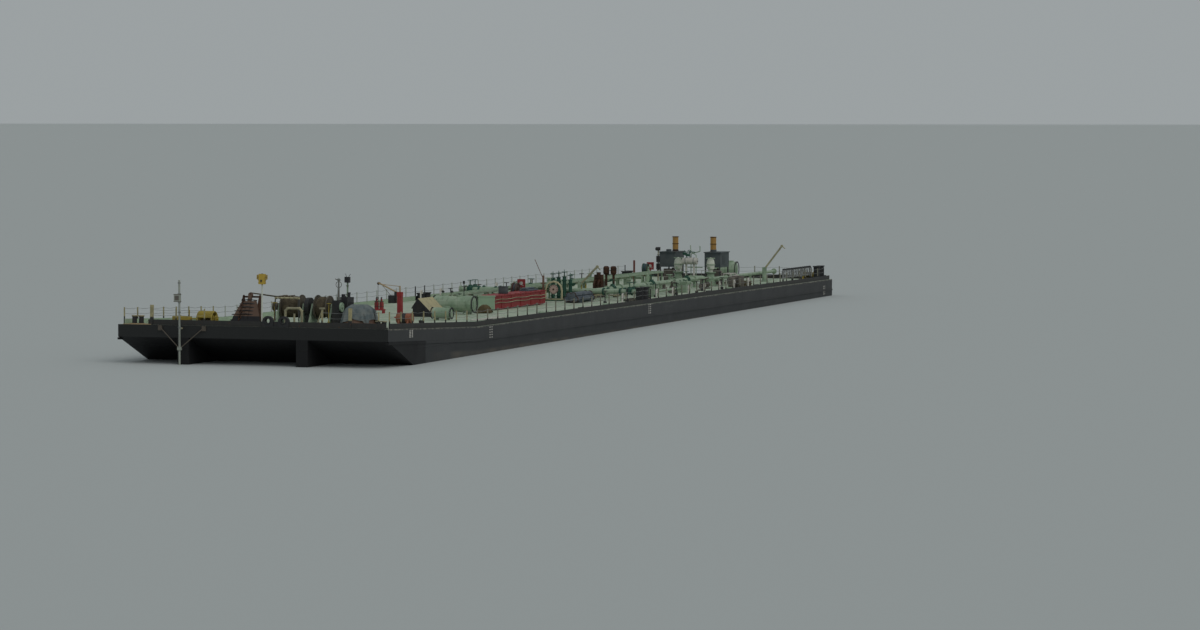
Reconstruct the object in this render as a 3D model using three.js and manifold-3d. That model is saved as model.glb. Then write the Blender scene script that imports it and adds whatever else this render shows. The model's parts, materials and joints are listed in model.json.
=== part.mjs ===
// River tank barge, a 1:10 scale model.
// Every size below is in metres of the real barge; the finished group is scaled to model millimetres.
// The barge frame has +X to the bow, +Y to port and +Z up, with its origin amidships on the bottom.
import * as THREE from 'three';
import { mergeVertices } from 'three/addons/utils/BufferGeometryUtils.js';
import Module from 'manifold-3d';

const wasm = await Module();
wasm.setup();

const MODEL_MM_PER_METRE = 100;

// Hull
const LENGTH = 91.4;
const BEAM = 16.46;
const DEPTH = 3.66;
const SHEER_LENGTH = 14;
const SHEER_RISE = 0.52;
const HEADLOG_DEPTH = 0.7;
const RAKE_ANGLE = THREE.MathUtils.degToRad(21.5);
const RAKE_RADIUS = 6;
const BILGE_RADIUS = 0.3;
const BOW_X = LENGTH / 2;
const STERN_X = -LENGTH / 2;
const SIDE_Y = BEAM / 2;
const SHEER_ANGLE = Math.atan2(SHEER_RISE, SHEER_LENGTH);

// Clearance between a fitting and the plate that it stands on
const SEAT = 0.003;

// Deck edge
const EDGE = { inset: 0.14, coamingHigh: 0.3, coamingThick: 0.07, postHigh: 0.95, postThick: 0.06 };
const POST_SPACING = 1.71;

// Colours of the real paints, as roughness and metalness with them
const PAINT = {
  hull: [0x26272b, 0.75, 0.2],
  black: [0x17181a, 0.7, 0.2],
  cream: [0xb9ae86, 0.7, 0.0],
  paleGreen: [0xa9c6aa, 0.6, 0.0],
  darkGreen: [0x1d4d3d, 0.6, 0.1],
  mustard: [0xb5932c, 0.6, 0.1],
  red: [0x8f1f24, 0.6, 0.0],
  rust: [0x5d3a2c, 0.9, 0.2],
  houseBlue: [0x47535c, 0.6, 0.1],
  rope: [0x7d6c51, 0.95, 0.0],
  canvas: [0x56636b, 0.95, 0.0],
  orange: [0xa4502e, 0.6, 0.0],
  white: [0xc9c6c0, 0.6, 0.0],
  hose: [0x59636f, 0.8, 0.0],
};

const barge = new THREE.Group();
barge.scale.setScalar(MODEL_MM_PER_METRE);

// On the level deck and on the sloping foredeck, x is minus the distance aft of the bow and z is
// measured up from the deck
const mainDeck = new THREE.Group();
mainDeck.position.set(BOW_X, 0, DEPTH + SEAT);
const foreDeck = new THREE.Group();
foreDeck.position.set(BOW_X, 0, DEPTH + SHEER_RISE + SEAT);
foreDeck.rotation.y = -SHEER_ANGLE;
const bowEdge = new THREE.Group();
bowEdge.position.set(BOW_X, 0, DEPTH + SHEER_RISE);
barge.add(mainDeck, foreDeck, bowEdge);

// Solids from three.js geometry

function solidOf(geometry) {
  const shell = geometry.clone();
  shell.deleteAttribute('normal');
  shell.deleteAttribute('uv');
  const merged = mergeVertices(shell, 1e-5);
  return new wasm.Manifold(new wasm.Mesh({
    numProp: 3,
    vertProperties: Float32Array.from(merged.attributes.position.array),
    triVerts: Uint32Array.from(merged.index.array),
  }));
}

function join(...solids) {
  return solids.flat().reduce((whole, next) => whole.add(next));
}

function block([x0, x1], [y0, y1], [z0, z1]) {
  const box = new THREE.BoxGeometry(x1 - x0, y1 - y0, z1 - z0);
  box.translate((x0 + x1) / 2, (y0 + y1) / 2, (z0 + z1) / 2);
  return solidOf(box);
}

function extrudeFlat(points, depth) {
  const shape = new THREE.Shape(points.map(([a, b]) => new THREE.Vector2(a, b)));
  return new THREE.ExtrudeGeometry(shape, { depth, bevelEnabled: false });
}

// An outline of [x, z] points drawn out along Y
function profileAcross(points, [y0, y1]) {
  const geometry = extrudeFlat(points, y1 - y0);
  geometry.rotateX(Math.PI / 2);
  geometry.translate(0, y1, 0);
  return solidOf(geometry);
}

// An outline of [y, z] points drawn out along X
function profileAlong(points, [x0, x1]) {
  const geometry = extrudeFlat(points, x1 - x0);
  geometry.rotateX(Math.PI / 2);
  geometry.rotateZ(Math.PI / 2);
  geometry.translate(x0, 0, 0);
  return solidOf(geometry);
}

// A round bar between two points
function rod(from, to, radius, sides = 8, endRadius = radius) {
  const start = new THREE.Vector3(...from);
  const line = new THREE.Vector3(...to).sub(start);
  const geometry = new THREE.CylinderGeometry(endRadius, radius, line.length(), sides);
  geometry.translate(0, line.length() / 2, 0);
  const turn = new THREE.Quaternion().setFromUnitVectors(new THREE.Vector3(0, 1, 0), line.normalize());
  geometry.applyQuaternion(turn);
  geometry.translate(start.x, start.y, start.z);
  return solidOf(geometry);
}

// A pipe through corner points, each length run on by its radius so that the corners close
function pipe(corners, radius, sides = 8) {
  const lengths = corners.slice(1).map((corner, i) => {
    const start = new THREE.Vector3(...corners[i]);
    const end = new THREE.Vector3(...corner);
    const step = end.clone().sub(start).normalize().multiplyScalar(radius * 0.9);
    const first = i > 0 ? start.sub(step) : start;
    const last = i < corners.length - 2 ? end.add(step) : end;
    return rod(first.toArray(), last.toArray(), radius, sides);
  });
  return join(lengths);
}

// A turned shape: [radius, height] points from axis to axis, stood at a place along an axis
function turned(profile, place, axis = 'z', sides = 16) {
  const geometry = new THREE.LatheGeometry(profile.map(([r, h]) => new THREE.Vector2(r, h)), sides);
  if (axis === 'z') geometry.rotateX(Math.PI / 2);
  if (axis === 'x') geometry.rotateZ(-Math.PI / 2);
  geometry.translate(...place);
  return solidOf(geometry);
}

function arcPoints(cx, cy, radius, fromDeg, toDeg, steps) {
  return Array.from({ length: steps + 1 }, (_, i) => {
    const angle = THREE.MathUtils.degToRad(fromDeg + ((toDeg - fromDeg) * i) / steps);
    return [cx + radius * Math.cos(angle), cy + radius * Math.sin(angle)];
  });
}

function addPiece(parent, name, solid, [color, roughness, metalness]) {
  const { vertProperties, triVerts } = solid.getMesh();
  const geometry = new THREE.BufferGeometry();
  geometry.setAttribute('position', new THREE.BufferAttribute(Float32Array.from(vertProperties), 3));
  geometry.setIndex(new THREE.BufferAttribute(Uint32Array.from(triVerts), 1));
  geometry.computeVertexNormals();
  const mesh = new THREE.Mesh(geometry, new THREE.MeshStandardMaterial({ color, roughness, metalness }));
  mesh.name = name;
  parent.add(mesh);
}

function deckHeight(x) {
  return DEPTH + Math.max(0, x - (BOW_X - SHEER_LENGTH)) * (SHEER_RISE / SHEER_LENGTH);
}

// The hull: flat bottom, raked bow, deep headlog and square stern

function hull() {
  const bowTop = DEPTH + SHEER_RISE;
  const headlogFoot = bowTop - HEADLOG_DEPTH;
  const rakeFoot = BOW_X - headlogFoot / Math.tan(RAKE_ANGLE);
  const tangent = RAKE_RADIUS * Math.tan(RAKE_ANGLE / 2);
  const rakeDegrees = THREE.MathUtils.radToDeg(RAKE_ANGLE);
  const side = [
    [STERN_X, 0],
    ...arcPoints(rakeFoot - tangent, RAKE_RADIUS, RAKE_RADIUS, -90, -90 + rakeDegrees, 5),
    [BOW_X, headlogFoot],
    [BOW_X, bowTop],
    [BOW_X - SHEER_LENGTH, DEPTH],
    [STERN_X, DEPTH],
  ];
  const section = [
    ...arcPoints(SIDE_Y - BILGE_RADIUS, BILGE_RADIUS, BILGE_RADIUS, -90, 0, 4),
    [SIDE_Y, bowTop + 1],
    [-SIDE_Y, bowTop + 1],
    ...arcPoints(BILGE_RADIUS - SIDE_Y, BILGE_RADIUS, BILGE_RADIUS, 180, 270, 4),
  ];
  const body = profileAcross(side, [-SIDE_Y - 1, SIDE_Y + 1]);
  return join(
    body.intersect(profileAlong(section, [STERN_X - 1, BOW_X + 1])),
    bowKnees(headlogFoot),
    [-1, 1].map((hand) => rubBar(hand)),
  );
}

// Two box columns that stiffen the headlog and run down to the rake plating
const KNEE = { places: [-4.2, 3.05], wide: 0.7, footZ: 1.6, long: 5.2 };

function bowKnees(headlogFoot) {
  return KNEE.places.map((y) => block(
    [BOW_X - KNEE.long, BOW_X],
    [y - KNEE.wide / 2, y + KNEE.wide / 2],
    [KNEE.footZ, headlogFoot + 0.1],
  ));
}

// A strip of plate that follows the deck edge from stern to bow
function edgeStrip(y0, y1, low, high, x0 = STERN_X, x1 = BOW_X) {
  const knuckle = BOW_X - SHEER_LENGTH;
  const line = [x0, ...(x0 < knuckle && x1 > knuckle ? [knuckle] : []), x1];
  const outline = [
    ...line.map((x) => [x, deckHeight(x) + low]),
    ...line.reverse().map((x) => [x, deckHeight(x) + high]),
  ];
  return profileAcross(outline, [Math.min(y0, y1), Math.max(y0, y1)]);
}

function rubBar(hand) {
  const bar = { below: 0.75, high: 0.12, proud: 0.04 };
  return edgeStrip(hand * (SIDE_Y - 0.1), hand * (SIDE_Y + bar.proud), -bar.below - bar.high, -bar.below);
}

// Deck edges: coaming, posts, kevels and bitts

// A post stands in the coaming, which is a little thicker
function edgePost(x, y) {
  const half = EDGE.postThick / 2;
  const foot = deckHeight(x) + SEAT;
  const low = foot + EDGE.coamingHigh - 0.1;
  return block([x - half, x + half], [y - half, y + half], [low, foot + EDGE.postHigh]);
}

// A pair of bollards on one plate, their line along x or y
function bitts({ x, y, z, high, radius, apart, along }) {
  const capRadius = radius * 1.25;
  const reach = apart / 2 + capRadius;
  const [halfX, halfY] = along === 'x' ? [reach, capRadius] : [capRadius, reach];
  const plate = block([x - halfX, x + halfX], [y - halfY, y + halfY], [z, z + 0.06]);
  const posts = [-1, 1].map((hand) => {
    const px = along === 'x' ? x + (hand * apart) / 2 : x;
    const py = along === 'y' ? y + (hand * apart) / 2 : y;
    const profile = [
      [0, 0], [radius, 0], [radius, high - 0.09], [capRadius, high - 0.06], [capRadius, high], [0, high],
    ];
    return turned(profile, [px, py, z], 'z', 10);
  });
  return join(plate, posts);
}

function kevel(x, y) {
  const foot = deckHeight(x) + SEAT;
  return join(
    block([x - 0.16, x + 0.16], [y - 0.1, y + 0.1], [foot, foot + 0.22]),
    block([x - 0.42, x + 0.42], [y - 0.07, y + 0.07], [foot + 0.2, foot + 0.32]),
  );
}

const SIDE_FITTINGS = {
  kevels: [16.5, 33, 60, 71.7],
  bitts: [45.8, 89.1],
  bitt: { radius: 0.26, apart: 1.08, inboard: 0.3 },
  bittsHigh: { port: 1.1, starboard: 0.5 },
};

function sideRail(hand) {
  const y = hand * (SIDE_Y - EDGE.inset);
  const ends = [STERN_X + 0.4, BOW_X - 0.5];
  const thick = EDGE.coamingThick / 2;
  const coaming = edgeStrip(y - thick, y + thick, SEAT, EDGE.coamingHigh, ...ends);
  const count = Math.floor((ends[1] - ends[0]) / POST_SPACING);
  const start = ends[1] - EDGE.postThick / 2;
  const posts = Array.from({ length: count + 1 }, (_, i) => edgePost(start - i * POST_SPACING, y));
  const inboard = y - hand * 0.12;
  const kevels = SIDE_FITTINGS.kevels.map((s) => kevel(BOW_X - s, inboard));
  const high = hand > 0 ? SIDE_FITTINGS.bittsHigh.port : SIDE_FITTINGS.bittsHigh.starboard;
  const { radius, apart, inboard: bittInboard } = SIDE_FITTINGS.bitt;
  const pairs = SIDE_FITTINGS.bitts.map((s) => {
    const x = BOW_X - s;
    const z = deckHeight(x) + SEAT;
    return bitts({ x, y: y - hand * bittInboard, z, high, radius, apart, along: 'x' });
  });
  return join(coaming, posts, kevels, pairs);
}

// Bow coaming from the open starboard corner round to port, with two closed chocks
const BOW_RAIL = {
  from: -6.4, to: 8.0, x: -EDGE.inset,
  posts: [-4.7, -2.95, 4.2, 7.6], kingPosts: [-6.2, 5.9], kingHalf: 0.08, kingHigh: 1.12,
};
const CHOCKS = { places: [0.95, 1.9], half: 0.33, shoulder: 0.28, mouthZ: 0.34, mouthRadius: 0.15 };

function bowRail() {
  const { from, to, x, posts, kingPosts, kingHalf, kingHigh } = BOW_RAIL;
  const half = EDGE.postThick / 2;
  const thick = EDGE.coamingThick / 2;
  const coaming = block([x - thick, x + thick], [from, to], [0, EDGE.coamingHigh]);
  const uprights = posts.map((y) => block(
    [x - half, x + half],
    [y - half, y + half],
    [0.2, EDGE.postHigh],
  ));
  const kings = kingPosts.map((y) => block(
    [x - kingHalf, x + kingHalf],
    [y - kingHalf, y + kingHalf],
    [0, kingHigh],
  ));
  const gap = CHOCKS.half - 0.01;
  const cutCoaming = CHOCKS.places.reduce(
    (left, y) => left.subtract(block([-1, 1], [y - gap, y + gap], [-1, 1])),
    coaming,
  );
  return join(cutCoaming, uprights, kings, CHOCKS.places.map((y) => chock(x, y)), bowBitts());
}

// A chock with a round top over its mouth
function chock(x, y) {
  const { half, shoulder, mouthZ, mouthRadius } = CHOCKS;
  const outline = [[y - half, 0], [y + half, 0], ...arcPoints(y, shoulder, half, 0, 180, 10)];
  const body = profileAlong(outline, [x - 0.12, x + 0.1]);
  return body.subtract(rod([x - 1, y, mouthZ], [x + 1, y, mouthZ], mouthRadius, 12));
}

// Bollards on doubler plates: at the open starboard corner of the bow and at the port corner
function bowBitts() {
  return join(
    block([-1.6, -0.1], [-7.98, -6.35], [0, 0.03]),
    bitts({ x: -0.75, y: -7.35, z: 0.01, high: 0.5, radius: 0.14, apart: 0.42, along: 'y' }),
    block([-0.6, -0.1], [7.3, 7.95], [0, 0.03]),
    bitts({ x: -0.42, y: 7.64, z: 0.01, high: 0.44, radius: 0.13, apart: 0.36, along: 'y' }),
  );
}

function sternRail() {
  const x = -LENGTH + EDGE.inset;
  const reach = SIDE_Y - 0.45;
  const thick = EDGE.coamingThick / 2;
  const half = EDGE.postThick / 2;
  const coaming = block([x - thick, x + thick], [-reach, reach], [0, EDGE.coamingHigh]);
  const posts = [-6, -4, -2, 2, 4, 6].map((y) => block(
    [x - half, x + half],
    [y - half, y + half],
    [0.2, EDGE.postHigh],
  ));
  return join(coaming, posts);
}

// Foredeck fittings

// Inclined plate rack for the anchor, with the bow light mast beside its port cheek
const RACK = { y: -0.62, half: 0.5, foot: -0.55, lean: 0.8, high: 1.75 };
const BOW_MAST = { x: -0.75, y: 0.29, high: 2.95, lamp: { wide: 0.34, high: 0.58 } };

function anchorRack() {
  const { y, half, foot, lean, high } = RACK;
  const outline = [[foot, 0], [foot - lean, high], [foot - lean - 0.12, high], [foot - 1.3, 0]];
  const cheeks = [-half, half].map((side) => profileAcross(outline, [y + side - 0.03, y + side + 0.03]));
  const bars = [[0.1, 0.06], [0.82, 0.42], [1.6, 0.76]].map(([z, back]) => {
    const x = foot - back - 0.14;
    return block([x - 0.05, x + 0.05], [y - half - 0.03, y + half + 0.03], [z, z + 0.1]);
  });
  const sill = block([BOW_MAST.x - 0.14, BOW_MAST.x + 0.14], [y + half, BOW_MAST.y + 0.14], [0, 0.05]);
  return join(cheeks, bars, sill, lampMast(BOW_MAST));
}

// The anchor lies against the rack: wide crown low down, two broad flukes and the shank up the slope
const FLUKE = [[0.05, 0.1], [0.85, 0.12], [0.8, 0.5], [0.42, 1.5], [0.05, 1.45]];

function anchor() {
  const slope = Math.atan2(RACK.lean, RACK.high);
  const back = 0.05;
  const lift = 0.02;
  const seatX = RACK.foot + (back + SEAT) * Math.cos(slope) - lift * Math.sin(slope);
  const seatZ = (back + SEAT) * Math.sin(slope) + lift * Math.cos(slope);
  const laid = (geometry) => {
    geometry.rotateX(Math.PI / 2);
    geometry.rotateZ(Math.PI / 2);
    geometry.rotateY(-slope);
    geometry.translate(seatX, RACK.y, seatZ);
    return solidOf(geometry);
  };
  const fluke = (hand) => extrudeFlat(FLUKE.map(([across, up]) => [hand * across, up]), 0.1);
  return join(
    laid(fluke(1)),
    laid(fluke(-1)),
    laid(new THREE.BoxGeometry(1.74, 0.3, 0.24).translate(0, 0.14, 0.07)),
    laid(new THREE.BoxGeometry(0.2, 1.85, 0.16).translate(0, 0.92, 0.06)),
    laid(new THREE.CylinderGeometry(0.14, 0.14, 0.12, 10).rotateX(Math.PI / 2).translate(0, 1.86, 0.06)),
  );
}

function lampMast({ x, y, high, lamp, foot = 0.14, radius = 0.045 }) {
  return join(
    block([x - foot, x + foot], [y - foot, y + foot], [0, 0.05]),
    rod([x, y, 0], [x, y, high], radius),
    block([x - 0.1, x + 0.14], [y - lamp.wide / 2, y + lamp.wide / 2], [high - lamp.high, high]),
  );
}

const FORE_MAST = { x: -9, y: 2, high: 2.82, lamp: { wide: 0.28, high: 0.32 } };

// Depth-sounder pole ahead of the headlog on two stays, its foot in the water
function sounderPole() {
  const pole = { y: -4.25, ahead: 0.36, top: 2.55, foot: -3.1, radius: 0.06 };
  const joint = [pole.ahead, pole.y, -1.3];
  const stays = [-5.6, -2.9].map((y) => pipe([[0.05, y, -0.12], joint], 0.03, 6));
  const pads = [-5.6, -2.9].map((y) => block([SEAT, 0.07], [y - 0.12, y + 0.12], [-0.3, -0.02]));
  return join(
    rod([pole.ahead, pole.y, pole.foot], [pole.ahead, pole.y, pole.top], pole.radius),
    block([SEAT, pole.ahead], [pole.y - 0.04, pole.y + 0.04], [-0.2, -0.12]),
    block([pole.ahead - 0.1, pole.ahead + 0.1], [pole.y - 0.1, pole.y + 0.1], [-1.38, -1.22]),
    block([pole.ahead - 0.09, pole.ahead + 0.09], [pole.y - 0.3, pole.y + 0.06], [1.35, 1.75]),
    stays,
    pads,
  );
}

// Double-drum anchor winch: bed, bearing stands, drive case and engine at the port end
const WINCH = { x: -4, axisZ: 1.1, bedHigh: 0.14, shaft: 0.095, bore: 0.1 };
// Shafts and their bores are many-sided alike, so that a shaft clears its bore as it turns
const SHAFT_SIDES = 12;
const WINCH_STANDS = [[-0.02, 0.1], [1.45, 1.57], [2.0, 2.1], [3.2, 3.32]];
const GUIDE_BAR = { x: -3.15, y: [0.04, 1.5], z: 1.6, radius: 0.04 };

function winchFrame() {
  const bed = block([WINCH.x - 0.95, WINCH.x + 0.95], [-0.25, 4.3], [0, WINCH.bedHigh]);
  const standTop = WINCH.axisZ + 0.2;
  const stand = [[-0.75, 0.1], [0.75, 0.1], [0.2, standTop], [-0.2, standTop]];
  const stands = WINCH_STANDS.map((span) => profileAcross(stand.map(([dx, z]) => [WINCH.x + dx, z]), span));
  const drive = join(
    rod([WINCH.x, 1.66, WINCH.axisZ], [WINCH.x, 1.9, WINCH.axisZ], 0.54, 16),
    block([WINCH.x - 0.3, WINCH.x + 0.3], [1.66, 1.9], [0.1, 1]),
  );
  const bore = rod([WINCH.x, -1, WINCH.axisZ], [WINCH.x, 1.6, WINCH.axisZ], WINCH.bore, SHAFT_SIDES);
  const portBore = rod([WINCH.x, 1.95, WINCH.axisZ], [WINCH.x, 4, WINCH.axisZ], WINCH.bore, SHAFT_SIDES);
  return join(join(bed, stands, drive).subtract(bore).subtract(portBore), winchEngine(), guideBar());
}

// A bar ahead of the starboard drum that keeps its rope down
function guideBar() {
  const { x, y, z, radius } = GUIDE_BAR;
  return pipe([[x, y[0], 0.1], [x, y[0], z], [x, y[1], z], [x, y[1], 0.1]], radius, 6);
}

// A rope drum with two flanges and its own shaft along y
function winchDrum({ y0, y1, shaftFrom, shaftTo, head }) {
  const at = (y) => [WINCH.x, y, WINCH.axisZ];
  const flange = 0.65;
  const parts = [
    rod(at(shaftFrom), at(shaftTo), WINCH.shaft, SHAFT_SIDES),
    rod(at(y0), at(y1), 0.5, 16),
    rod(at(y0), at(y0 + 0.06), flange, 16),
    rod(at(y1 - 0.06), at(y1), flange, 16),
  ];
  if (head) {
    parts.push(rod(at(head[0]), at(head[1]), 0.2, 12));
    parts.push(rod(at(head[0]), at(head[0] + 0.05), 0.27, 12));
  }
  return join(parts);
}

const ANCHOR_DRUMS = [
  { name: 'anchor_winch_drum_1', y0: 0.2, y1: 1.36, shaftFrom: -0.4, shaftTo: 1.56, head: [-0.42, -0.12] },
  { name: 'anchor_winch_drum_2', y0: 2.28, y1: 3.06, shaftFrom: 2.02, shaftTo: 3.36, head: null },
];

// Gear case with a round cover on its port side, the engine behind it and the brake post on top
const GEAR_CASE = {
  x: [-4.05, -3.3], y: [3.46, 3.86], high: 1.5, coverX: -3.62, coverZ: 1.12, coverRadius: 0.27,
};
const BRAKE_POST = { x: -3.95, y: 3.58, top: 2.64 };

function winchEngine() {
  const { x, y, high, coverX, coverZ, coverRadius } = GEAR_CASE;
  const post = BRAKE_POST;
  return join(
    block(x, y, [0.1, high]),
    rod([coverX, y[1] - 0.02, coverZ], [coverX, y[1] + 0.1, coverZ], coverRadius, 16),
    block([-4.85, -4.1], [3.55, 4.0], [0.1, 0.7]),
    block([-4.95, -4.0], [3.46, 4.1], [0.62, 1.7]),
    rod([-4.7, 3.9, 1.65], [-4.7, 3.9, 1.96], 0.09),
    rod([post.x, post.y, high - 0.1], [post.x, post.y, post.top], 0.085, 8, 0.045),
    turned([[0, -0.1], [0.1, -0.04], [0.1, 0.04], [0, 0.1]], [post.x, post.y, post.top + 0.03], 'z', 8),
  );
}

// Rope guides ahead of the winch: a pipe arch over a short post, and a braced post, on one sill
const GUIDES = { x: -1.6, archFrom: 1.35, archTo: 2.35, archHigh: 1.04, postY: 3.6, postHigh: 1.08 };

function ropeGuides() {
  const { x, archFrom, archTo, archHigh, postY, postHigh } = GUIDES;
  const shoulder = archHigh - 0.14;
  return join(
    block([x - 0.09, x + 0.09], [1.2, 3.8], [0, 0.08]),
    pipe([
      [x, archFrom, 0.04], [x, archFrom, shoulder], [x, archFrom + 0.15, archHigh],
      [x, archTo - 0.15, archHigh], [x, archTo, shoulder], [x, archTo, 0.04],
    ], 0.07, 6),
    rod([x, 1.9, 0.04], [x, 1.9, 0.75], 0.06),
    rod([x, postY, 0.04], [x, postY, postHigh], 0.06),
    block([x - 0.07, x + 0.07], [postY - 0.16, postY + 0.14], [postHigh - 0.06, postHigh + 0.04]),
    rod([x, postY - 0.36, 0.04], [x, postY - 0.04, 0.9], 0.04, 6),
  );
}

// Heaps under cloth: an outline repeated at each [height, scale] and drawn in towards the top
function heap(outline, [cx, cy], levels) {
  return hullOfRings(levels.map(([z, scale]) => outline.map(
    ([x, y]) => new THREE.Vector3(cx + (x - cx) * scale, cy + (y - cy) * scale, z),
  )));
}

function coveredPile() {
  const outline = [
    [-4.4, 4.5], [-3.4, 4.45], [-2.4, 4.5], [-2.25, 5.1],
    [-2.4, 5.75], [-3.4, 5.85], [-4.3, 5.8], [-4.45, 5.1],
  ];
  return heap(outline, [-3.4, 5.1], [[0, 1], [0.45, 0.94], [1.0, 0.76], [1.25, 0.46]]);
}

function brownHeap() {
  const outline = [[-30.0, 2.4], [-29.4, 2.38], [-29.3, 2.85], [-29.55, 3.08], [-29.98, 3.0]];
  return heap(outline, [-29.68, 2.7], [[0, 1], [0.2, 0.94], [0.38, 0.68], [0.48, 0.3]]);
}

// A closed skin over rings of equal count, capped at both ends
function hullOfRings(rings) {
  const count = rings[0].length;
  const points = rings.flat();
  const faces = [];
  for (let level = 0; level < rings.length - 1; level += 1) {
    for (let i = 0; i < count; i += 1) {
      const [a, b] = [level * count + i, level * count + ((i + 1) % count)];
      faces.push(a, b, b + count, a, b + count, a + count);
    }
  }
  const top = (rings.length - 1) * count;
  for (let i = 1; i < count - 1; i += 1) faces.push(0, i + 1, i, top, top + i, top + i + 1);
  return new wasm.Manifold(new wasm.Mesh({
    numProp: 3,
    vertProperties: Float32Array.from(points.flatMap((p) => p.toArray())),
    triVerts: Uint32Array.from(faces),
  }));
}

// An oil drum on its side between two chocks
function orangeDrum() {
  const [x, y, radius] = [-12, 4.4, 0.3];
  const z = 0.14 + radius;
  const drum = turned(
    [[0, -0.45], [radius, -0.45], [radius, -0.17], [radius + 0.02, -0.15], [radius, -0.13],
      [radius, 0.13], [radius + 0.02, 0.15], [radius, 0.17], [radius, 0.45], [0, 0.45]],
    [x, y, z], 'y', 12,
  );
  const chocks = [-0.28, 0.28].map((dy) => profileAcross(
    [[x - 0.42, 0], [x + 0.42, 0], [x + 0.26, 0.34], [x - 0.26, 0.34]],
    [y + dy - 0.05, y + dy + 0.05],
  ));
  return join(drum, chocks);
}

// Hand winches for the mooring lines, low on the deck corners
const HAND_WINCH = { axisZ: 0.36, shaft: 0.05, bore: 0.0545 };

function handWinchFrame(x, y, bedFrom, bedTo) {
  const cheeks = [-0.45, 0.45].map((side) => profileAcross(
    [[x - 0.35, 0.05], [x + 0.35, 0.05], [x + 0.14, 0.52], [x - 0.14, 0.52]],
    [y + side - 0.03, y + side + 0.03],
  ));
  const { axisZ, bore: boreRadius } = HAND_WINCH;
  const bore = rod([x, y - 1, axisZ], [x, y + 1, axisZ], boreRadius, SHAFT_SIDES);
  return join(block([x - 0.45, x + 0.45], [bedFrom, bedTo], [0, 0.08]), cheeks).subtract(bore);
}

function handWinchDrum(x, y) {
  const at = (offset) => [x, y + offset, HAND_WINCH.axisZ];
  return join(
    rod(at(-0.5), at(0.6), HAND_WINCH.shaft, SHAFT_SIDES),
    rod(at(-0.36), at(0.36), 0.16, 12),
    rod(at(-0.36), at(-0.32), 0.25, 12),
    rod(at(0.32), at(0.36), 0.25, 12),
    rod(at(0.56), at(0.6), 0.24, 12),
  );
}

const HAND_WINCHES = [
  { name: 'bow_hand_winch', deck: foreDeck, x: -1.05, y: -3.2, bedFrom: -5.4, bedTo: -2.6 },
  { name: 'stern_hand_winch', deck: mainDeck, x: -90.2, y: 6.75, bedFrom: 6.2, bedTo: 7.3 },
];

// A small davit: square post on the deck, turning head with a short boom and a winch box
const DAVIT = { x: -22.4, y: -0.1, postHigh: 1.3 };

function davitPost() {
  const { x, y, postHigh } = DAVIT;
  return join(
    block([x - 0.28, x + 0.28], [y - 0.28, y + 0.28], [0, 0.06]),
    block([x - 0.14, x + 0.14], [y - 0.14, y + 0.14], [0, postHigh]),
    rod([x, y, postHigh - 0.1], [x, y, postHigh + 0.2], 0.05, SHAFT_SIDES),
  );
}

function davitBoom() {
  const { x, y, postHigh } = DAVIT;
  const low = postHigh + SEAT;
  const tip = [x + 0.05, y - 1.4, 2.12];
  const head = block([x - 0.15, x + 0.15], [y - 0.32, y + 0.15], [low, low + 0.27]);
  const socket = rod([x, y, low - 1], [x, y, postHigh + 0.22], 0.0545, SHAFT_SIDES);
  return join(
    head.subtract(socket),
    block([x - 0.16, x + 0.16], [y - 0.72, y - 0.27], [low - 0.42, low + 0.06]),
    rod([x, y, low + 0.25], [x, y, 1.95], 0.05),
    rod([x, y - 0.1, low + 0.2], tip, 0.05),
    rod([x, y, 1.92], [x + 0.04, y - 1.2, 2.03], 0.02, 6),
  );
}

// Booby hatch over a ladderway: low walls, a roof with its ridge well to starboard, and a door in
// the forward gable
const BOOBY = {
  x0: -26.3, x1: -23.8, y0: 0.18, y1: 1.38, wall: 0.05,
  ridgeY: 0.5, ridge: 1.08, highEaves: 0.62, lowEaves: 0.22,
  doorway: { y: 0.6, half: 0.26, low: 0.08, high: 0.7 },
};

function boobyHatch() {
  const { x0, x1, y0, y1, ridgeY, ridge, highEaves, lowEaves, wall, doorway } = BOOBY;
  const gable = (thin, foot) => [
    [y0 + thin, foot], [y1 - thin, foot], [y1 - thin, lowEaves - thin],
    [ridgeY, ridge - thin * 1.6], [y0 + thin, highEaves - thin],
  ];
  const inside = profileAlong(gable(wall, -1), [x0 + wall, x1 - wall]);
  const shell = profileAlong(gable(0, 0), [x0, x1]).subtract(inside);
  const over = 0.08;
  const highDrop = highEaves - (over * (ridge - highEaves)) / (ridgeY - y0);
  const lowDrop = lowEaves - (over * (ridge - lowEaves)) / (y1 - ridgeY);
  const under = [[y0 - over, highDrop - 0.02], [ridgeY, ridge - 0.02], [y1 + over, lowDrop - 0.02]];
  const upper = under.map(([y, z]) => [y, z + 0.07]).reverse();
  const roof = profileAlong([...under, ...upper], [x0 - 0.06, x1]);
  const { y, half, low, high } = doorway;
  return join(shell, roof).subtract(block([x1 - 0.2, x1 + 0.5], [y - half, y + half], [low, high]));
}

// A plate door beside its hinge line at the origin, the leaf towards +y and its barrel on the line
function doorLeaf({ wide, low, high, thick }) {
  const middle = (low + high) / 2;
  const face = thick / 2;
  return join(
    block([-face, face], [0, wide], [low, high]),
    rod([0, 0, low], [0, 0, high], face, 8),
    block([face - 0.01, face + 0.05], [wide - 0.16, wide - 0.1], [middle - 0.12, middle + 0.12]),
  );
}

const BOOBY_DOOR = { wide: 0.6, low: 0.04, high: 0.74, thick: 0.04 };

// Deck tanks lying across the deck on saddles, with vents and a manhole where they have them
const TANKS = [
  { name: 'fore_deck_tank', x: -20.6, y0: 2.75, y1: 4.0, radius: 0.34, lift: 0.08, vents: [] },
  { name: 'long_deck_tank', x: -28, y0: 0, y1: 2.65, radius: 0.52, lift: 0.1, vents: [0.55, 1.15] },
  { name: 'aft_deck_tank', x: -86.3, y0: 0.3, y1: 2.05, radius: 0.58, lift: 0.28, vents: [0.75] },
];

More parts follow.
